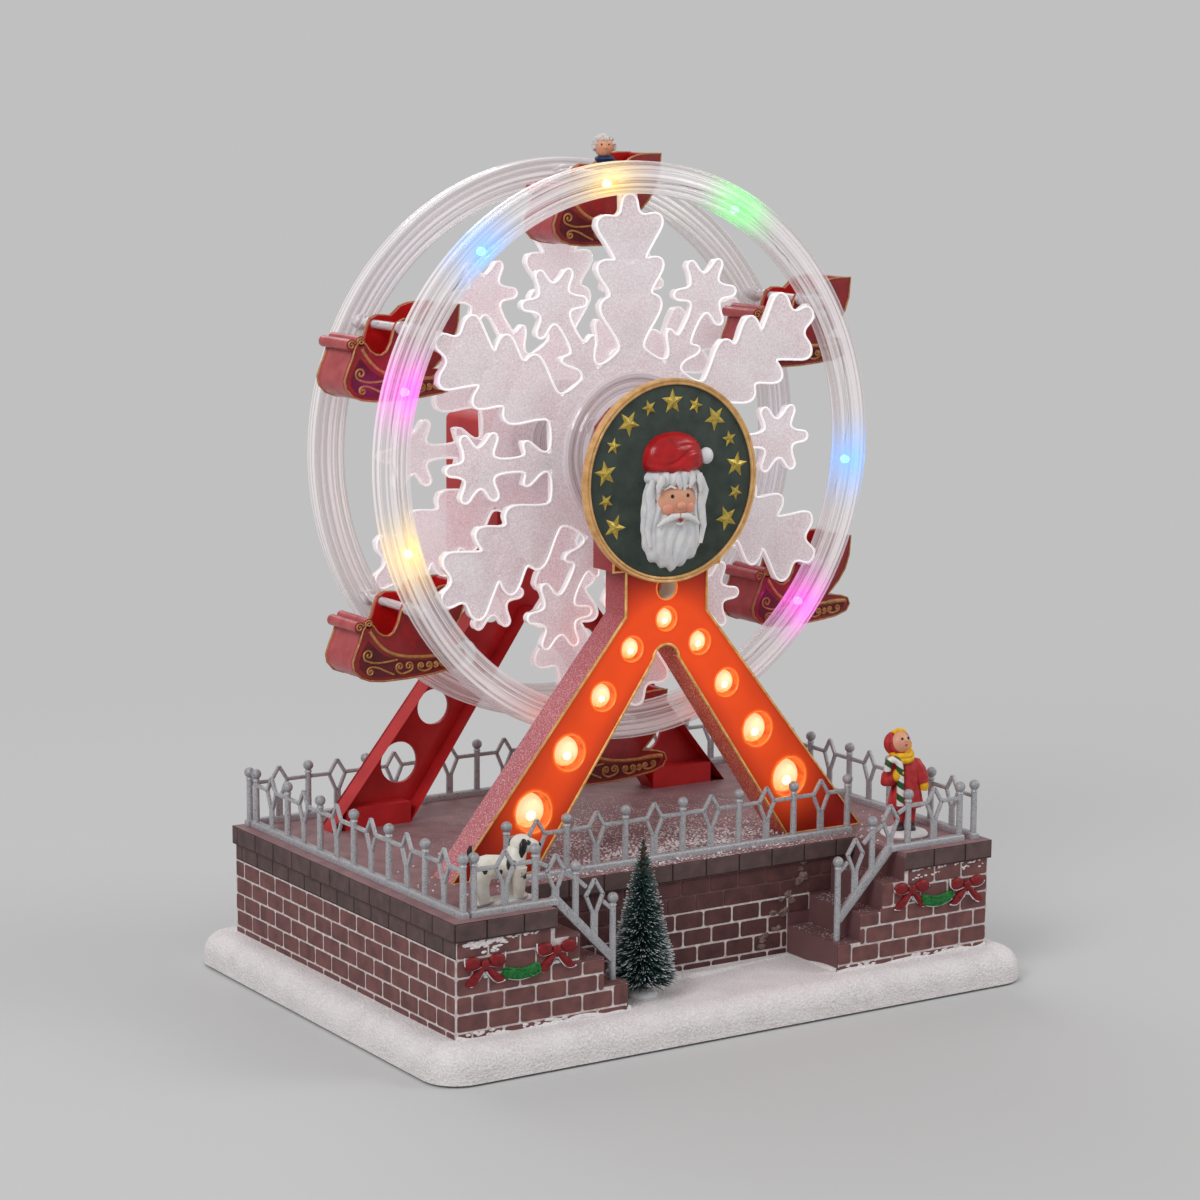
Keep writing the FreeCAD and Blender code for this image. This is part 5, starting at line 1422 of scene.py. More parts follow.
def buildSleigh(number):
    x, z = pinPlace(number)
    body = "sleigh_%d" % number
    front, back, side = sleigh["front"], sleigh["back"], sleigh["side"]
    outline = sleighHull + sleighRim

    def sheet(bm, points, low, high, ease=0.0, hole=0.0):
        holes = [(x, z, hole)] if hole else []
        addMesh(bm, plate([(x + px, z + pz) for px, pz in points], holes, low, high, ease=ease))

    def line(bm, points, y, radius, sides, **way):
        strand(bm, [(x + px, y, z + pz) for px, pz in points], radius, sides=sides, **way)

    hull = bmesh.new()
    for low in (front, back - side):
        sheet(hull, outline, low, low + side, 0.35, sleigh["pinHole"])
    sheet(hull, sleighHull + sleighInner[::-1], front + side, back - side)
    for px, pz, radius in sleigh["rolls"]:
        cone(hull, (x + px, front, z + pz), (x + px, back, z + pz), radius, radius, 24)
    finished(hull, "sleigh%d" % number, sleighRed, 35, ["gondola_%d" % number], body=body)
    lining = bmesh.new()
    sheet(lining, sleighBench, front + side + 0.02, back - side - 0.02, 0.2)
    for low in (front + side + 0.01, back - side - 0.11):
        sheet(lining, insideLoop(outline, 0.6), low, low + 0.1, hole=1.7)
    sheet(lining, sleighBack, front + side, back - side)
    finished(lining, "sleighLining%d" % number, scarlet, 35, body=body)
    gold, panels = bmesh.new(), bmesh.new()
    for y, out in ((front, -1), (back, 1)):
        line(gold, insideLoop(outline, 0.55 if out < 0 else 1.3), y - 0.05 * out, 0.36, 1, closed=True)
        line(gold, goldBand, y + 0.05 * out, 0.62, 2, smooth=True)
        line(gold, [(12.0, -16.9), (16.4, -16.4), (20.4, -16.9)], y + 0.05 * out, 0.8, 2, smooth=True)
        for stem, centre, reach, start, way in scrolls:
            line(gold, stem + curl(centre, reach, start, way), y + 0.22 * out, 0.40, 1, smooth=True)
        for centre, start, way in sleigh["curls"]:
            line(gold, curl(centre, 1.5, start, way), y + 0.1 * out, 0.3, 1, smooth=True)
        sheet(panels, lowerPanel, *sorted((y - 0.1 * out, y + 0.14 * out)))
    finished(gold, "sleighGold%d" % number, sleighGold, 60, body=body)
    finished(panels, "sleighPanels%d" % number, maroonPanel, 35, body=body)
    return x, z


# A tube through stations of (x, y, z, radius), squashed along y
def sweep(bm, stations, sides, squash=1.0):
    loops = []
    for index, (x, y, z, radius) in enumerate(stations):
        before = Vector(stations[max(index - 1, 0)][:3])
        after = Vector(stations[min(index + 1, len(stations) - 1)][:3])
        turn = (after - before).to_track_quat("Z", "Y").to_matrix().to_4x4()
        circle = bmesh.ops.create_circle(bm, segments=sides, radius=radius, matrix=turn)["verts"]
        for vert in circle:
            vert.co = Vector((vert.co.x + x, vert.co.y * squash + y, vert.co.z + z))
        loops.append(circle)
    for low, high in zip(loops[:-1], loops[1:]):
        edges = [edge for edge in {e for vert in low + high for e in vert.link_edges}
                 if all(vert in low for vert in edge.verts) or all(vert in high for vert in edge.verts)]
        bmesh.ops.bridge_loops(bm, edges=edges)
    for loop in (loops[0], loops[-1]):
        bmesh.ops.contextual_create(bm, geom=loop)


figures = {
    "skin": (0.72, 0.36, 0.225),
    "cheek": (0.80, 0.26, 0.19),
    "hair": (0.72, 0.70, 0.70),
    "navy": (0.022, 0.045, 0.13),
    "yellow": (0.92, 0.53, 0.020),
    "yellowOther": (0.74, 0.36, 0.010),
    "coat": (0.54, 0.040, 0.045),
    "coatOther": (0.36, 0.018, 0.022),
    "boot": (0.035, 0.020, 0.020),
    "white": (0.80, 0.775, 0.76),
}


def skinFinish(name, cheeks):
    finish = Finish(name)
    colour = figures["skin"]
    for at, reach in cheeks:
        near = finish.ramp(finish.distance(at), reach, reach * 0.2) * 0.75
        colour = finish.blend(near, colour, figures["cheek"])
    fine = finish.noise(0.6, 3.0)
    return finish.done({
        "Base Color": finish.blend(finish.ramp(fine, 0.4, 0.7) * 0.2, colour, (0.70, 0.30, 0.20)),
        "Roughness": finish.ramp(fine, 0.3, 0.7, 0.35, 0.5),
        "Normal": finish.bump(fine, 0.3, 0.06),
    })


hairPaint = painted("hairPaint", figures["hair"], (0.55, 0.53, 0.53), 0.5, 0.3, 0.6, 2.0, depth=0.15)
navyPaint = painted("navyPaint", figures["navy"], (0.012, 0.028, 0.09), 0.42, 0.4, 0.5, 3.0)
whitePaint = painted("whitePaint", figures["white"], (0.66, 0.68, 0.72), 0.5, 0.5, 0.5, 4.0, depth=0.12)
blackPaint = painted("blackPaint", (0.012, 0.012, 0.012), (0.025, 0.02, 0.02), 0.25, 0.4, 0.1, 2.0)


# A passenger, placed about its sleigh's pin: coat and arms, face, and either curls or a brimmed cap
rider = {
    "head": (5.3, 0, 9.4),
    "look": (-0.42, -0.90, -0.05),
    "coat": [(7.4, 0, -13.1, 4.0), (7.6, 0, -9.0, 4.6), (7.2, 0, -3.0, 4.2), (6.6, 0, 1.4, 4.6), (6.0, 0, 4.0, 3.4),
             (5.6, 0, 5.4, 2.5)],
    "arm": [(6.4, 3.6, 2.4, 1.9), (3.6, 4.6, -2.6, 1.7), (-0.4, 3.6, -4.6, 1.5)],
    "hand": (-1.4, 3.4, -4.8),
    "collar": (5.6, 0, 5.0),
    "cap": [(0, 0.6, 3.95), (0, 2.2, 4.0), (-0.2, 3.8, 2.9), (-0.4, 4.5, 0.9)],
}


def buildRider(node, number, x, z, cap):
    body = "sleigh_%d" % number
    base = Vector((x, (sleigh["front"] + sleigh["back"]) / 2, z))
    coat, face, hair, dots = (bmesh.new() for piece in range(4))

    def at(along, near, up, side=1):
        return base + Vector((along, near * side, up))

    def tube(stations, sides, side=1):
        sweep(coat, [(*at(*spot, side), size) for *spot, size in stations], sides)

    head, up = at(*rider["head"]), Vector((0, 0, 1))
    look = Vector(rider["look"]).normalized()
    across = look.cross(up).normalized()
    tube(rider["coat"], 18)
    for side in (-1, 1):
        tube(rider["arm"], 12, side)
        ball(face, at(*rider["hand"], side), 1.35, (1.1, 0.9, 0.8), 2)
        ball(face, head + across * 3.6 * side, 0.8, (1, 0.7, 1.2), 2)
        ball(dots, head + look * 3.42 + across * 1.3 * side + up * 0.75, 0.33, (1, 1, 1), 1)
    bmesh.ops.create_uvsphere(coat, u_segments=18, v_segments=8, radius=3.5, matrix=Matrix.Translation(
        at(*rider["collar"])) @ Matrix.Diagonal((1, 1, 0.42, 1)))
    ball(face, head, 3.7, (0.94, 0.94, 1.06), 4)
    ball(face, head + look * 3.65 - up * 0.3, 0.62, (1, 1, 0.9), 2)
    if cap:
        sweep(hair, [(head.x + px, head.y, head.z + pz, size) for px, pz, size in rider["cap"]], 20)
        ball(hair, head + look * 2.6 + up * 1.3, 3.0, (0.9, 0.9, 0.22), 3)
        locks = bmesh.new()
        for index in range(26):
            turn = math.radians(40 + index * 10)
            out = Vector((math.cos(turn), math.sin(turn), 0))
            if out.dot(look) < 0.35:
                spot = head + out * 3.5 + up * random.uniform(-1.6, 0.6)
                ball(locks, spot, random.uniform(0.7, 1.0), (1, 1, 1), 1)
        finished(locks, node + "Hair", hairPaint, 60, body=body)
        finished(hair, node + "Cap", navyPaint, 45, body=body)
    else:
        for index in range(150):
            rise = random.uniform(-0.35, 1.0)
            turn = random.uniform(0, 2 * math.pi)
            flat = math.sqrt(1 - rise * rise)
            out = Vector((flat * math.cos(turn), flat * math.sin(turn), rise))
            if out.dot(look) < 0.52 or rise > 0.62:
                ball(hair, head + out * 3.55, random.uniform(0.62, 0.95), (1, 1, 1), 1)
        finished(hair, node + "Curls", hairPaint, 60, body=body)
    cheeks = [((head + look * 3.3 + across * 2.0 * side - up * 0.7) * mm, 0.0014) for side in (-1, 1)]
    finished(coat, node, navyPaint, 50, [node], body=body)
    finished(face, node + "Face", skinFinish(node + "Skin", cheeks), 60, body=body)
    finished(dots, node + "Eyes", blackPaint, 60, body=body)


for number in range(1, 7):
    pinX, pinZ = buildSleigh(number)
    if number in (2, 6):
        buildRider("rider_top" if number == 2 else "rider_right", number, pinX, pinZ, number == 6)
print("sleighs ready")


# Medallion: rimmed disc, ring of small stars and a bearded winter figure in relief
medallion = {
    "centre": (0.0, 178.85),
    "radius": 34.6,
    "front": -37.1,
    "field": -36.3,
    "starRing": 26.8,
    "starCount": 13,
    "starFrom": 212.0,
    "starTo": -32.0,
    "starSize": 4.5,
    "green": (0.050, 0.068, 0.056),
    "greenOther": (0.030, 0.042, 0.036),
    "cap": (0.56, 0.014, 0.016),
    "capOther": (0.28, 0.008, 0.012),
}
rimGold = painted("medallionGold", (0.80, 0.48, 0.20), (0.58, 0.31, 0.11), 0.36, 0.4, 0.25, 3.0, 0.2, 0.05)
starGold = painted("starGold", (0.62, 0.46, 0.085), (0.36, 0.25, 0.04), 0.34, 0.35, 0.2, 1.5, 0.3, 0.05)
fieldGreen = painted("fieldGreen", medallion["green"], medallion["greenOther"], 0.62, 0.35, 0.9, 5.0, 0.0, 0.16)
capRed = painted("capRed", medallion["cap"], medallion["capOther"], 0.2, 0.4, 0.25, 7.0)


def buildMedallion():
    x, z = medallion["centre"]
    radius, front, field = medallion["radius"], medallion["front"], medallion["field"]
    disc = bmesh.new()
    spun(disc, [(0.0, field), (radius - 1.9, field), (radius - 1.8, field + 0.05), (radius - 0.4, -34.02),
                (0.0, -34.02)], (x, 0, z), "Y", 96)
    finished(disc, "medallionField", fieldGreen, 40, ["medallion_disc"])
    ring = bmesh.new()
    spun(ring, [(radius - 2.1, field + 0.1), (radius - 2.1, front + 0.3), (radius - 1.8, front + 0.02),
                (radius - 1.35, front + 0.02), (radius - 1.1, front + 0.35), (radius - 0.8, front + 0.02),
                (radius - 0.25, front + 0.02), (radius, front + 0.4), (radius, -34.25), (radius - 0.3, -34.01),
                (radius - 1.4, -34.01)], (x, 0, z), "Y", 96, closed=True)
    finished(ring, "medallionRim", rimGold, 50)
    stars = bmesh.new()
    for index in range(medallion["starCount"]):
        share = index / (medallion["starCount"] - 1)
        turn = medallion["starFrom"] + share * (medallion["starTo"] - medallion["starFrom"])
        size = medallion["starSize"] * (0.66 if index % 2 else 1.0)
        at = onArc(medallion["starRing"], turn, (x, z))
        outline = []
        for corner in range(10):
            outline.append(onArc(size if corner % 2 == 0 else size * 0.42, turn + 36 * corner, at))
        face = stars.faces.new([stars.verts.new((px, field - 0.02, pz)) for px, pz in outline])
        peak = bmesh.ops.poke(stars, faces=[face])["verts"]
        bmesh.ops.translate(stars, verts=peak, vec=(0, -0.95, 0))
        star = {vert for peakVert in peak for edge in peakVert.link_edges for vert in edge.verts}
        base = [edge for edge in stars.edges if edge.is_boundary and edge.verts[0] in star]
        bmesh.ops.contextual_create(stars, geom=base)
    finished(stars, "medallionStars", starGold, 15)


# One relief form: a spun disc whose points are drawn out to an outline, raised off the field and carved
def relief(bm, middle, width, height, depth, shape=None, carve=None):
    part = bmesh.new()
    spun(part, [(ring / 30, 0.0) for ring in range(31)], (0, 0, 0), "Y", 96)
    bmesh.ops.holes_fill(part, edges=part.edges[:])
    for vert in part.verts:
        reach, angle = math.hypot(vert.co.x, vert.co.z), math.atan2(vert.co.z, vert.co.x)
        wide, high = shape(angle) if shape else (1.0, 1.0)
        px, pz = middle[0] + width * wide * vert.co.x, middle[1] + height * high * vert.co.z
        rise = depth * math.sqrt(max(0.0, 1 - reach ** 2.6))
        if carve:
            rise -= carve(px, pz) * (1 - reach ** 8)
        vert.co = (px, medallion["field"] + 0.05 - rise, pz)
    addMesh(bm, part)


# A tapering lock of hair along (x, z) points, from the first y to the second
def lock(bm, points, y, radius, taper, squash=0.8):
    path = []
    count = len(points) - 1
    for index, (px, pz) in enumerate(points):
        share = index / count
        size = radius * (1 - (1 - taper) * share ** 1.6) * (0.55 if index == 0 else 1.0)
        path.append((px, y[0] + (y[1] - y[0]) * share, pz, size))
    sweep(bm, path, 12, squash)


def beardShape(angle):
    down = max(0.0, -math.sin(angle))
    power = 2.7 + 1.0 * down
    full = (abs(math.cos(angle)) ** power + abs(math.sin(angle)) ** power) ** (-1 / power)
    point = 0.13 * math.exp(-((angle + math.pi / 2) / 0.34) ** 2)
    scallop = 0.026 * math.sin(angle * 19) * (0.3 + down)
    return full * (1.0 - 0.10 * max(0.0, math.sin(angle))) + scallop, full * 0.92 + point + scallop


# Flat below and domed above, for the cap and the band of hair under it
def domeShape(angle):
    full = (abs(math.cos(angle)) ** 2.4 + abs(math.sin(angle)) ** 2.4) ** (-1 / 2.4)
    return full, full * (1.0 if math.sin(angle) > 0 else 0.36 + 0.05 * math.sin(angle * 9))


def capFolds(px, pz):
    crease = math.exp(-((pz - 187.2 - 0.22 * px - 1.2 * math.sin(px * 0.35)) / 0.8) ** 2)
    second = math.exp(-((pz - 191.2 + 0.16 * (px - 3) ** 2 * 0.2) / 0.7) ** 2) * max(0.0, min(1.0, (px + 2) / 4))
    return 0.75 * crease + 0.45 * second


# Soft wavy strands that run down the beard
def beardWaves(px, pz):
    drift = 0.9 * math.sin((pz - 150) * 0.30 + px * 0.25) + 0.12 * px * (pz - 168) / 14
    broad = 0.5 + 0.5 * math.cos(2 * math.pi * (px + drift) / 3.3)
    fine = 0.5 + 0.5 * math.cos(2 * math.pi * (px + drift * 1.3) / 1.25)
    return 0.75 * broad ** 1.5 + 0.16 * fine


def buildHead():
    white, skin, red, dots = bmesh.new(), bmesh.new(), bmesh.new(), bmesh.new()
    relief(white, (0.0, 168.0), 12.4, 18.6, 4.5, beardShape, beardWaves)
    relief(skin, (0.0, 172.4), 9.3, 7.4, 5.6)
    relief(white, (0.0, 180.4), 11.2, 4.3, 5.9, None, beardWaves)
    for side in (-1, 1):
        lock(white, [(0.4 * side, 167.8), (3.0 * side, 167.4), (6.2 * side, 166.0), (8.4 * side, 164.4)],
             (-42.0, -40.6), 1.45, 0.35, 0.7)
        lock(white, [(9.6 * side, 180.0), (11.0 * side, 175.4), (10.1 * side, 170.2), (11.3 * side, 163.6),
                     (10.3 * side, 157.4)], (-39.6, -38.9), 2.1, 0.35, 0.6)
        lock(white, [(1.8 * side, 177.0), (3.6 * side, 177.8), (5.9 * side, 176.6)], (-41.6, -40.6), 0.62, 0.4)
    for start, tip, foot, size in ((-7.4, -8.6, 175.8, 1.7), (-0.8, 0.2, 176.5, 1.5), (1.6, 1.9, 175.9, 1.3),
                                   (5.0, 4.2, 176.8, 1.3), (7.6, 8.4, 175.4, 1.7)):
        strandOfHair = [(start, 181.6), (start * 1.04, 179.6), (tip, 177.8), (tip, foot)]
        lock(white, strandOfHair, (-41.8, -41.2), size, 0.35, 0.7)
    lock(white, [(-1.4, 165.3), (0.0, 164.7), (1.4, 165.3)], (-41.4, -41.4), 0.8, 0.6)
    ball(white, (12.2, -38.9, 187.0), 2.45, (1, 0.95, 1.15), 4)
    ball(skin, (0.0, -42.3, 171.2), 1.5, (1.15, 0.85, 0.95), 3)
    for side in (-1, 1):
        ball(skin, (3.9 * side, -40.7, 170.2), 2.3, (1.1, 0.5, 0.9), 3)
        ball(dots, (3.1 * side, -41.55, 174.4), 0.62, (1, 0.7, 1.1), 3)
    relief(red, (0.0, 185.0), 11.8, 10.4, 6.3, domeShape, capFolds)
    ball(red, (0.0, -42.05, 166.3), 0.75, (1.25, 0.55, 0.75), 3)
    cheeks = [((3.9 * side * mm, -0.0415, 0.1702), 0.0030) for side in (-1, 1)] + [((0, -0.0436, 0.1712), 0.0016)]
    finished(white, "medallionBeard", whitePaint, 60, ["medallion_head"])
    finished(skin, "medallionFace", skinFinish("medallionSkin", cheeks), 60)
    finished(red, "medallionCap", capRed, 60)
    finished(dots, "medallionEyes", blackPaint, 60)


buildMedallion()
buildHead()
print("medallion ready")


# Tree: dark bristles in tiers on a twisted wire, frosted at their tips
tree = {
    "x": -29.8,
    "y": -66.0,
    "foot": 12.0,
    "top": 67.0,
    "radius": 13.2,
    "bristles": 2300,
    "dark": (0.007, 0.026, 0.026),
    "green": (0.016, 0.058, 0.048),
    "frost": (0.80, 0.84, 0.86),
}


def treeReach(height):
    share = (height - tree["foot"] - 5) / (tree["top"] - tree["foot"] - 5)
    return max(0.6, tree["radius"] * (1 - share) ** 0.92 * min(1.0, 0.55 + share * 8))


def bristleFinish():
    finish = Finish("bristles")
    flat = finish.vector("MULTIPLY", finish.coordinates(), (1, 1, 0))
    away = finish.distance((tree["x"] * mm, tree["y"] * mm, 0), flat)
    height = finish.place(2)
    limit = finish.ramp(height, 0.016, 0.067, 0.0134, 0.0010)
    frost = finish.ramp(away / limit + finish.noise(3.0, 2.0) * 0.34, 0.97, 1.16)
    tone = finish.blend(finish.ramp(finish.noise(4.0, 2.0), 0.4, 0.65), tree["dark"], tree["green"])
    return finish.done({
        "Base Color": finish.blend(frost, tone, tree["frost"]),
        "Roughness": finish.ramp(frost, 0.0, 1.0, 0.55, 0.8),
    })


def buildTree():
    bm, wire = bmesh.new(), bmesh.new()
    for index in range(tree["bristles"]):
        share = index / tree["bristles"]
        height = tree["foot"] + 5.5 + (tree["top"] - tree["foot"] - 6.2) * (1 - math.sqrt(1 - share))
        turn = index * 137.508
        reach = treeReach(height) * random.uniform(0.86, 1.0)
        x, y = onArc(reach, turn, (tree["x"], tree["y"]))
        lift = random.uniform(-2.0, 2.2) - 0.08 * reach
        end = (x, y, max(tree["foot"] + 0.8, min(tree["top"] - 0.1, height + lift)))
        cone(bm, (tree["x"], tree["y"], height), end, 0.34, 0.10, 3)
    for turn in (0, 180):
        path = []
        for step in range(56):
            x, y = onArc(0.5, turn + step * 70, (tree["x"], tree["y"]))
            path.append((x, y, tree["foot"] + 0.6 + step * (tree["top"] - tree["foot"] - 5.0) / 55))
        strand(wire, path, 0.5, sides=1)
    finished(bm, "treeBristles", bristleFinish(), 60, ["tree"])
    finished(wire, "treeWire", wirePaint, 60)
    foot = bmesh.new()
    spun(foot, [(0.0, 12.05), (5.0, 12.05), (5.2, 12.8), (4.4, 13.9), (2.2, 14.5), (0.0, 14.7)],
         (tree["x"], tree["y"], 0), "Z", 24)
    finished(foot, "treeFoot", whitePaint, 60)


buildTree()


# Child in a hooded coat who looks up, with a scarf, mittens and a striped cane
child = {
    "x": 87.0,
    "y": -56.0,
    "floor": 50.1,
    "look": (-0.50, -0.86),
    "green": (0.012, 0.085, 0.018),
    "stripes": (700.0, -450.0, 1300.0),
    "coat": [(0.2, 0, 10.4, 5.9), (0.2, 0, 11.0, 6.5), (0.4, 0, 14.6, 5.7), (0.8, 0, 18.6, 4.9), (1.1, 0, 22.6, 4.7),
             (0.5, 0, 25.8, 3.9), (-0.8, 0, 28.0, 2.6)],
    "leftArm": [(-0.6, 0.3, 27.0, 1.1), (-2.6, 0.6, 25.8, 2.3), (-5.0, 0.9, 22.8, 2.5), (-6.3, 1.2, 20.9, 2.5),
                (-6.7, 1.9, 19.8, 2.4), (-5.9, 2.9, 20.1, 2.1), (-4.2, 3.8, 21.3, 1.8)],
    "rightArm": [(1.4, 0.1, 27.2, 1.1), (3.2, 0.2, 25.9, 2.3), (4.8, 0.4, 23.2, 2.5), (5.9, 0.7, 20.6, 2.2),
                 (6.3, 0.9, 18.9, 1.9)],
    "mitten": [(6.3, 0.9, 19.8, 1.3), (6.6, 1.1, 17.8, 1.7), (6.5, 1.2, 16.2, 1.1)],
    "cane": [(-2.3, 4.9, 11.6), (-2.3, 4.9, 17.0), (-2.5, 4.9, 24.4), (-3.0, 4.9, 27.4), (-5.2, 4.9, 28.6),
             (-7.2, 4.8, 27.0), (-7.0, 4.6, 24.0)],
}


def stripeFinish(name):
    finish = Finish(name)
    slant = finish.vector("DOT_PRODUCT", finish.coordinates(), child["stripes"], "Value")
    band = finish.ramp(finish.node("Math", {"operation": "SINE"}, {0: slant}), -0.15, 0.15)
    return finish.done({"Base Color": finish.blend(band, child["green"], (0.80, 0.78, 0.76)),
                        "Roughness": finish.ramp(finish.noise(1.0, 2.0), 0.3, 0.7, 0.3, 0.45)})


def buildChild():
    base = Vector((child["x"], child["y"], child["floor"]))
    look = Vector((*child["look"], 0)).normalized()
    across = Vector((-look.y, look.x, 0))
    coat, face, dark, yellow, stick, snow, dots = (bmesh.new() for piece in range(7))

    def at(right, near, up):
        return base + across * right + look * near + Vector((0, 0, up))

    def tube(bm, stations, sides, squash=1.0):
        sweep(bm, [(*at(*spot), size) for *spot, size in stations], sides, squash)

    def arc(centre, normal, radius, first, last, lift=0.0, steps=14):
        level = normal.cross(Vector((0, 0, 1))).normalized()
        rise = level.cross(normal)
        turns = [math.radians(first + (last - first) * step / steps) for step in range(steps + 1)]
        return [tuple(centre + level * math.cos(turn) * radius + rise * math.sin(turn) * radius + normal * lift)
                for turn in turns]

    tube(coat, child["coat"], 28, 0.84)
    for turn in range(9):
        x, y = onArc(5.7, 200 + turn * 24)
        tube(coat, [(x, -y * 0.8, 10.6, 1.1), (x * 0.93, -y * 0.74, 14.5, 0.8), (x * 0.85, -y * 0.66, 18.5, 0.3)], 8)
    tube(coat, child["leftArm"], 18)
    tube(coat, child["rightArm"], 18)
    ball(yellow, at(-3.2, 4.3, 22.3), 1.95, (1, 1, 1.25), 3)
    ball(yellow, at(-2.0, 5.2, 23.4), 0.85, (1, 1, 1), 2)
    tube(yellow, child["mitten"], 14)
    for side in (-1, 1):
        tube(dark, [(1.9 * side, 0.2, 1.2, 1.9), (1.9 * side, 0, 5.2, 1.7)], 14)
        tube(coat, [(1.9 * side, 0, 4.8, 1.8), (1.9 * side, 0, 11.0, 2.3)], 14)
        ball(dark, at(2.0 * side, 1.3, 2.4), 1.95, (1, 1, 0.8), 3)
    head, gaze = at(-2.9, 0.3, 33.1), (across * 0.50 + look * 0.80 + Vector((0, 0, 0.34))).normalized()
    ball(coat, head - gaze * 1.1, 4.35, (1, 1, 1.04), 4)
    ball(face, head + gaze * 0.7, 3.95, (1, 1, 1), 4)
    strand(coat, arc(head, gaze, 4.0, 0, 360, 1.3, 24), 0.62, smooth=True, sides=2)
    strand(yellow, arc(head, gaze, 4.15, 52, 128, 1.5), 0.85, smooth=True, sides=3)
    strand(yellow, arc(head, gaze, 4.2, 185, 262, 1.3), 0.85, smooth=True, sides=3)
    neck, tilt = at(-1.6, 0.6, 28.0), (look * 0.15 + Vector((0, 0, 1))).normalized()
    for rise, radius, size in ((0.0, 3.3, 1.35), (1.5, 3.4, 1.15)):
        strand(yellow, arc(neck + Vector((0, 0, rise)), tilt, radius, 0, 360, 0.0, 20), size, smooth=True, sides=3)
    level = gaze.cross(Vector((0, 0, 1))).normalized()
    rise = level.cross(gaze)
    for side in (-1, 1):
        ball(dots, head + gaze * 4.5 + level * 1.35 * side + rise * 0.8, 0.42, (1, 1, 1.2), 2)
    ball(face, head + gaze * 4.75 - rise * 0.2, 0.5, (1, 1, 0.9), 2)
    ball(coat, head + gaze * 4.3 - rise * 1.5, 0.5, (1.3, 1.3, 0.6), 2)
    strand(stick, [at(*spot) for spot in child["cane"]], 1.3, smooth=True, sides=4)
    spun(snow, [(0.0, 0.03), (8.2, 0.03), (8.5, 0.7), (7.9, 1.5), (5.0, 2.0), (0.0, 2.2)], base, "Z", 40)
    coatPaint = painted("coatPaint", figures["coat"], figures["coatOther"], 0.42, 0.4, 0.6, 2.6, 0.0, 0.12)
    bootPaint = painted("bootPaint", figures["boot"], (0.06, 0.05, 0.05), 0.4, 0.5, 0.3, 3.0)
    scarfPaint = painted("scarfYellow", figures["yellow"], figures["yellowOther"], 0.5, 0.4, 0.6, 2.0)
    cheeks = [((head + gaze * 3.9 + level * 2.2 * side - rise * 0.8) * mm, 0.0016) for side in (-1, 1)]
    for bm, name, material, slot in (
            (coat, "childCoat", coatPaint, "figure_red"),
            (face, "childFace", skinFinish("childSkin", cheeks), "figure"),
            (dots, "childEyes", blackPaint, "figure"), (snow, "childFoot", whitePaint, "snow"),
            (dark, "childBoots", bootPaint, "figure"), (yellow, "childScarf", scarfPaint, "figure"),
            (stick, "childCane", stripeFinish("caneStripes"), "figure")):
        finished(bm, name, material, 55, ["child_figure"] if bm is coat else ())


# Spotted dog on an oblong snow foot, nose to the right
dog = {
    "x": -81.0,
    "y": -62.0,
    "floor": 50.1,
    "spots": [(-80.4, -66.0, 63.4, 2.1), (-76.3, -65.2, 59.4, 1.9), (-90.2, -66.0, 62.6, 1.3),
              (-84.6, -66.0, 61.2, 1.0), (-84.0, -58.0, 64.0, 2.4), (-78.0, -58.6, 61.0, 1.9),
              (-93.9, -62.0, 69.2, 2.9), (-88.0, -59.0, 58.0, 1.5), (-73.6, -65.6, 69.4, 1.1)],
    "body": [(-10.8, 0, 12.7, 1.8), (-10.0, 0, 12.6, 3.4), (-6.3, 0, 12.3, 4.1), (-1.2, 0, 11.9, 3.8),
             (3.0, 0, 12.2, 4.2), (5.6, 0, 12.8, 3.6), (6.9, 0, 13.4, 2.2)],
    "legs": [(-8.3, -2.3), (-7.7, 2.3), (4.3, -2.3), (3.8, 2.3)],
    "neck": [(3.0, 0, 12.8, 4.0), (4.4, 0, 15.0, 3.6), (5.2, 0, 17.0, 3.2)],
    "head": (6.2, -0.3, 18.4),
    "snout": [(7.8, -0.6, 18.2, 2.7), (10.2, -0.9, 17.7, 2.2), (11.8, -1.0, 17.5, 1.5)],
    "tail": [(-10.4, 0, 13.8, 1.3), (-12.3, 0, 15.8, 1.0), (-12.9, 0, 18.4, 0.95), (-12.4, 0, 20.2, 0.5)],
    "ear": [(6.0, 2.5, 20.4, 0.8), (5.2, 3.2, 19.0, 1.5), (4.7, 3.3, 16.6, 1.2), (4.5, 3.1, 14.8, 0.4)],
}


def dogFinish():
    finish = Finish("spottedCoat")
    colour = finish.blend(finish.ramp(finish.noise(5.0, 2.0), 0.4, 0.6), (0.80, 0.77, 0.70), (0.70, 0.65, 0.56))
    ragged = (finish.noise(1.6, 2.0) - 0.5) * 0.0016
    for x, y, z, radius in dog["spots"]:
        near = finish.distance((x * mm, y * mm, z * mm)) + ragged
        colour = finish.blend(finish.ramp(near, radius * mm, radius * 0.82 * mm), colour, (0.012, 0.011, 0.011))
    fur = finish.noise(0.7, 3.0)
    return finish.done({"Base Color": colour, "Roughness": finish.ramp(fur, 0.3, 0.7, 0.35, 0.5),
                        "Normal": finish.bump(fur, 0.5, 0.12)})


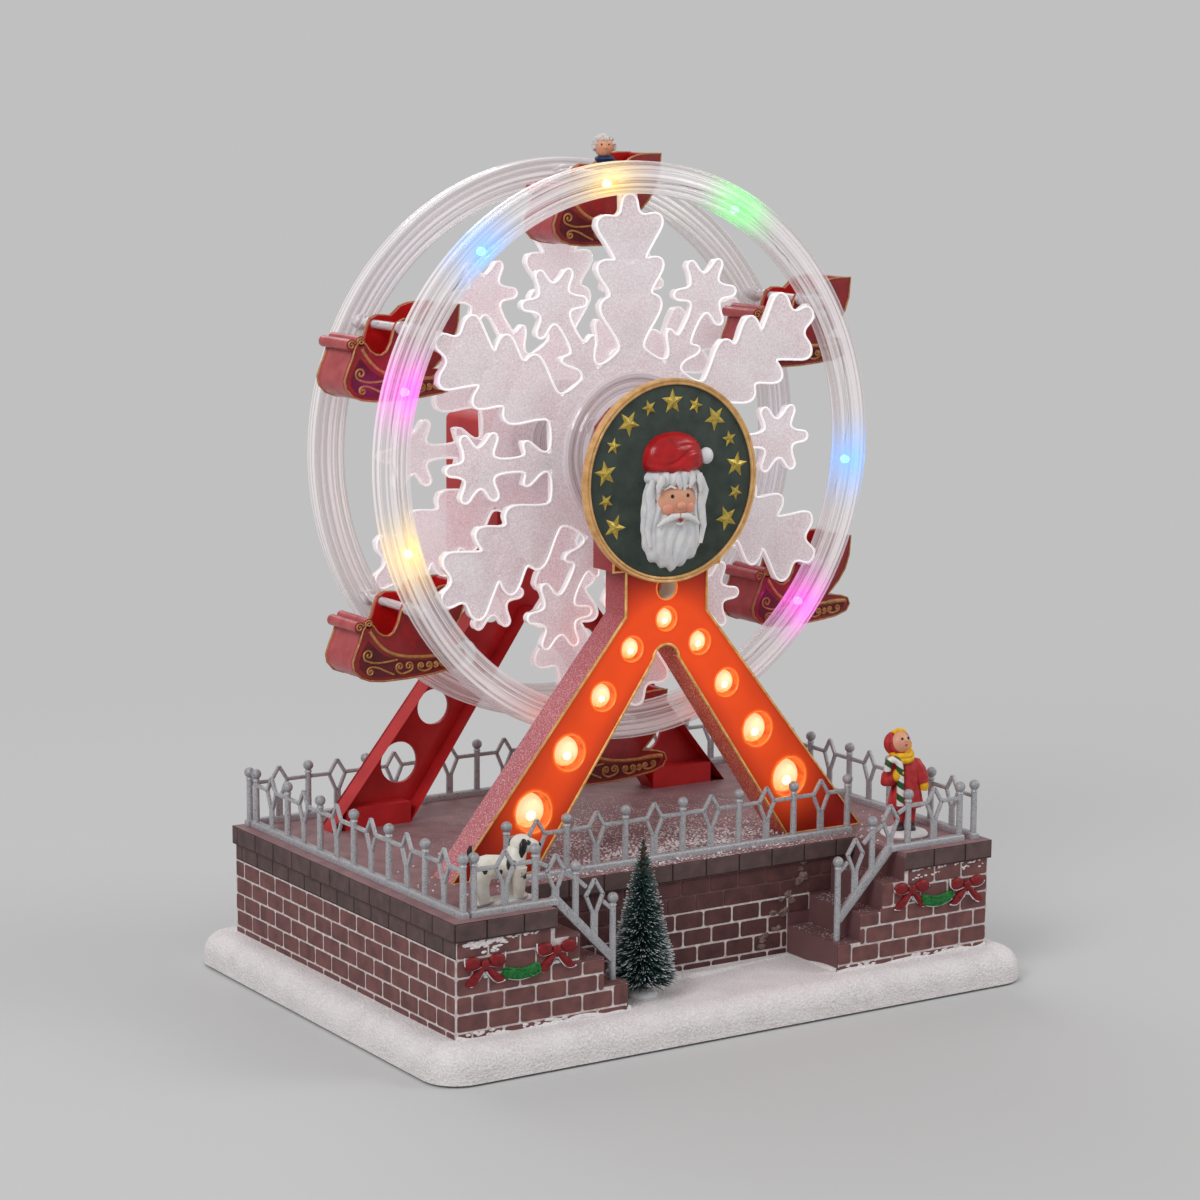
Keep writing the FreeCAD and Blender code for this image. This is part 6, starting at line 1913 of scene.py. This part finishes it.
def buildDog():
    x, y, floor = dog["x"], dog["y"], dog["floor"]
    coat, dark, snow = bmesh.new(), bmesh.new(), bmesh.new()

    def at(along, across, up):
        return (x + along, y + across, floor + up)

    def tube(bm, stations, sides, squash=1.0):
        sweep(bm, [(*at(*spot), size) for *spot, size in stations], sides, squash)

    tube(coat, dog["body"], 22)
    for along, across in dog["legs"]:
        back = 1.2 if along < 0 else 0.0
        tube(coat, [(along, across, 11.5, 2.7), (along - back, across, 7.5, 2.3),
                    (along - back * 0.6, across, 4.2, 2.0), (along, across, 1.6, 2.0)], 16)
        ball(coat, at(along + 0.8, across, 2.0), 2.0, (1.2, 1, 0.7), 3)
    tube(coat, dog["neck"], 18)
    ball(coat, at(*dog["head"]), 3.5, (1.08, 0.95, 0.97), 4)
    tube(coat, dog["snout"], 16)
    tube(coat, dog["tail"], 12)
    for side in (-1, 1):
        tube(dark, [(px, py * side - 0.3, pz, size) for px, py, pz, size in dog["ear"]], 12, 0.6)
        ball(dark, at(8.7, 1.5 * side - 0.5, 19.3), 0.42, (1, 1, 1), 2)
    ball(dark, at(12.6, -1.0, 17.7), 0.85, (0.9, 1.1, 0.9), 2)
    spun(snow, [(0.0, floor + 0.03), (9.6, floor + 0.03), (10.0, floor + 0.6), (9.3, floor + 1.3), (6.0, floor + 1.7),
                (0.0, floor + 1.8)], (x, y, 0), "Z", 44)
    for vert in snow.verts:
        vert.co.x = x + (vert.co.x - x) * 1.1
        vert.co.y = y + (vert.co.y - y) * 0.45
    finished(coat, "dogCoat", dogFinish(), 60, ["dog"])
    finished(dark, "dogEars", blackPaint, 60)
    finished(snow, "dogFoot", whitePaint, 50)


buildChild()
buildDog()
print("figures ready")


# Bows and garlands in low relief on the front walls
bows = {"front": -77.0, "thick": 1.3, "red": (0.25, 0.010, 0.014), "green": (0.014, 0.20, 0.035)}
bowPlaces = {
    "bows_left": [(-97.5, 35.5), (-70.7, 36.4), (-83.8, 31.6)],
    "bows_right": [(73.6, 36.8), (98.0, 35.3), (84.8, 32.4)],
}
bowLoop = [(0.5, 1.0), (3.0, 3.0), (5.8, 4.2), (7.5, 3.2), (7.7, 0.8), (6.6, -1.4), (4.0, -1.3), (1.4, -0.5)]
bowTail = [(0.3, -0.4), (2.6, -1.4), (5.2, -3.6), (7.4, -6.0), (5.4, -6.6), (3.6, -6.4), (2.0, -4.4), (0.4, -2.2)]


def buildBows(node):
    red, white, green = bmesh.new(), bmesh.new(), bmesh.new()
    front, thick = bows["front"], bows["thick"]
    for x, z in bowPlaces[node][:2]:
        for outline in (bowLoop, bowTail):
            for side in (-1, 1):
                points = [(x + side * px, z + pz) for px, pz in outline]
                addMesh(red, plate(points, [], front - thick, front - 0.01, soften=0.9, ease=0.45))
                first = random.choice((3, 4))
                edge = [(px, front - thick + 0.25, pz) for px, pz in points[first:]]
                strand(white, edge, random.uniform(0.2, 0.32), smooth=True, sides=1)
                (midX, wide), (midZ, high) = (
                    (sum(places) / len(places), (max(places) - min(places)) / 2) for places in zip(*points))
                if outline is bowLoop:
                    ball(red, (midX, front - thick + 0.35, midZ), 1.0, (wide * 0.84, 1.15, high * 0.72), 3)
                else:
                    strand(red, [(x, front - thick + 0.1, z), (midX, front - thick, midZ)], 0.7, sides=2)
        ball(red, (x, front - thick, z + 0.1), 1.6, (1.0, 0.55, 1.1), 3)
        for index in range(5):
            spot = (x + random.uniform(-1.6, 1.6), front - 0.35, z - random.uniform(2.2, 4.2))
            ball(white, spot, 0.8, (1.3, 0.4, 0.7), 2)
    x, z = bowPlaces[node][2]
    path = [(x + 1.7 * step, front - 0.8, z + 0.11 * step * step - 1.0) for step in range(-4, 5)]
    sweep(green, [(*point, 1.2 if abs(step - 4) == 4 else 1.9) for step, point in enumerate(path)], 12, 0.5)
    for px, py, pz in path[:-1]:
        for index in range(7):
            spot = (px + random.uniform(0, 1.7), py - 0.8, pz + random.uniform(-1.5, 1.6))
            ball(green, spot, 0.5, (1.1, 0.7, 0.9), 1)
    strand(white, [(px, front - 0.9, pz - 1.9) for px, py, pz in path[1:]], 0.24, smooth=True, sides=1)
    ribbon = painted(node + "Red", bows["red"], (0.16, 0.007, 0.010), 0.42, 0.4, 0.5, 2.4)
    leaves = painted(node + "Green", bows["green"], (0.008, 0.12, 0.025), 0.5, 0.3, 0.8, 1.2, depth=0.2)
    finished(red, node + "Ribbon", ribbon, 40, [node])
    finished(white, node + "Edges", whitePaint, 60)
    finished(green, node + "Garland", leaves, 50)


buildBows("bows_left")
buildBows("bows_right")


# Parts that keep their own shape: two shades, roughness, grain, strength, patch, metal and depth, then nodes
plainParts = {
    "moulding": ((0.045, 0.046, 0.050), (0.030, 0.031, 0.034), 0.46, 0.6, 0.35, 9.0, 0.0, 0.12,
                 "base_plate", "battery_box", "battery_door"),
    "zincSteel": ((0.42, 0.42, 0.43), (0.30, 0.30, 0.31), 0.28, 0.35, 0.15, 2.0, 0.95, 0.12,
                  "base_screws", "frame_screws", "battery_door_screw", "motor_shaft", "axle"),
    "softRubber": ((0.035, 0.035, 0.037), (0.022, 0.022, 0.024), 0.75, 0.4, 0.5, 4.0, 0.0, 0.1, "foot_pads"),
    "cellSleeve": ((0.30, 0.14, 0.05), (0.05, 0.05, 0.055), 0.3, 0.4, 0.15, 22.0, 0.4, 0.12, "battery_cells"),
    "nickelStrip": ((0.62, 0.60, 0.55), (0.50, 0.48, 0.44), 0.22, 0.3, 0.1, 3.0, 0.95, 0.12, "battery_contacts"),
    "boardGreen": ((0.02, 0.12, 0.05), (0.03, 0.17, 0.07), 0.35, 0.5, 0.4, 2.0, 0.0, 0.12, "circuit_board"),
    "fittingPlastic": ((0.020, 0.020, 0.022), (0.034, 0.034, 0.037), 0.36, 0.5, 0.3, 5.0, 0.0, 0.12,
                       "dc_jack", "switch_housing", "brush_holder"),
    "knobPlastic": ((0.030, 0.030, 0.032), (0.05, 0.05, 0.053), 0.5, 0.4, 0.5, 2.0, 0.0, 0.12, "switch_knob"),
    "motorCase": ((0.55, 0.55, 0.56), (0.42, 0.42, 0.44), 0.3, 0.5, 0.2, 4.0, 0.8, 0.12, "gearmotor"),
    "slipBrass": ((0.60, 0.38, 0.14), (0.50, 0.30, 0.10), 0.25, 0.3, 0.1, 2.0, 0.95, 0.12, "slip_ring"),
}


def dress(material, nodes):
    for node in nodes:
        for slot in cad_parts[node].material_slots:
            slot.material = material


dress(floorFinish(), ["platform_shell"])
for name, values in plainParts.items():
    dress(painted(name, *values[:8]), values[8:])
print("finishes ready")
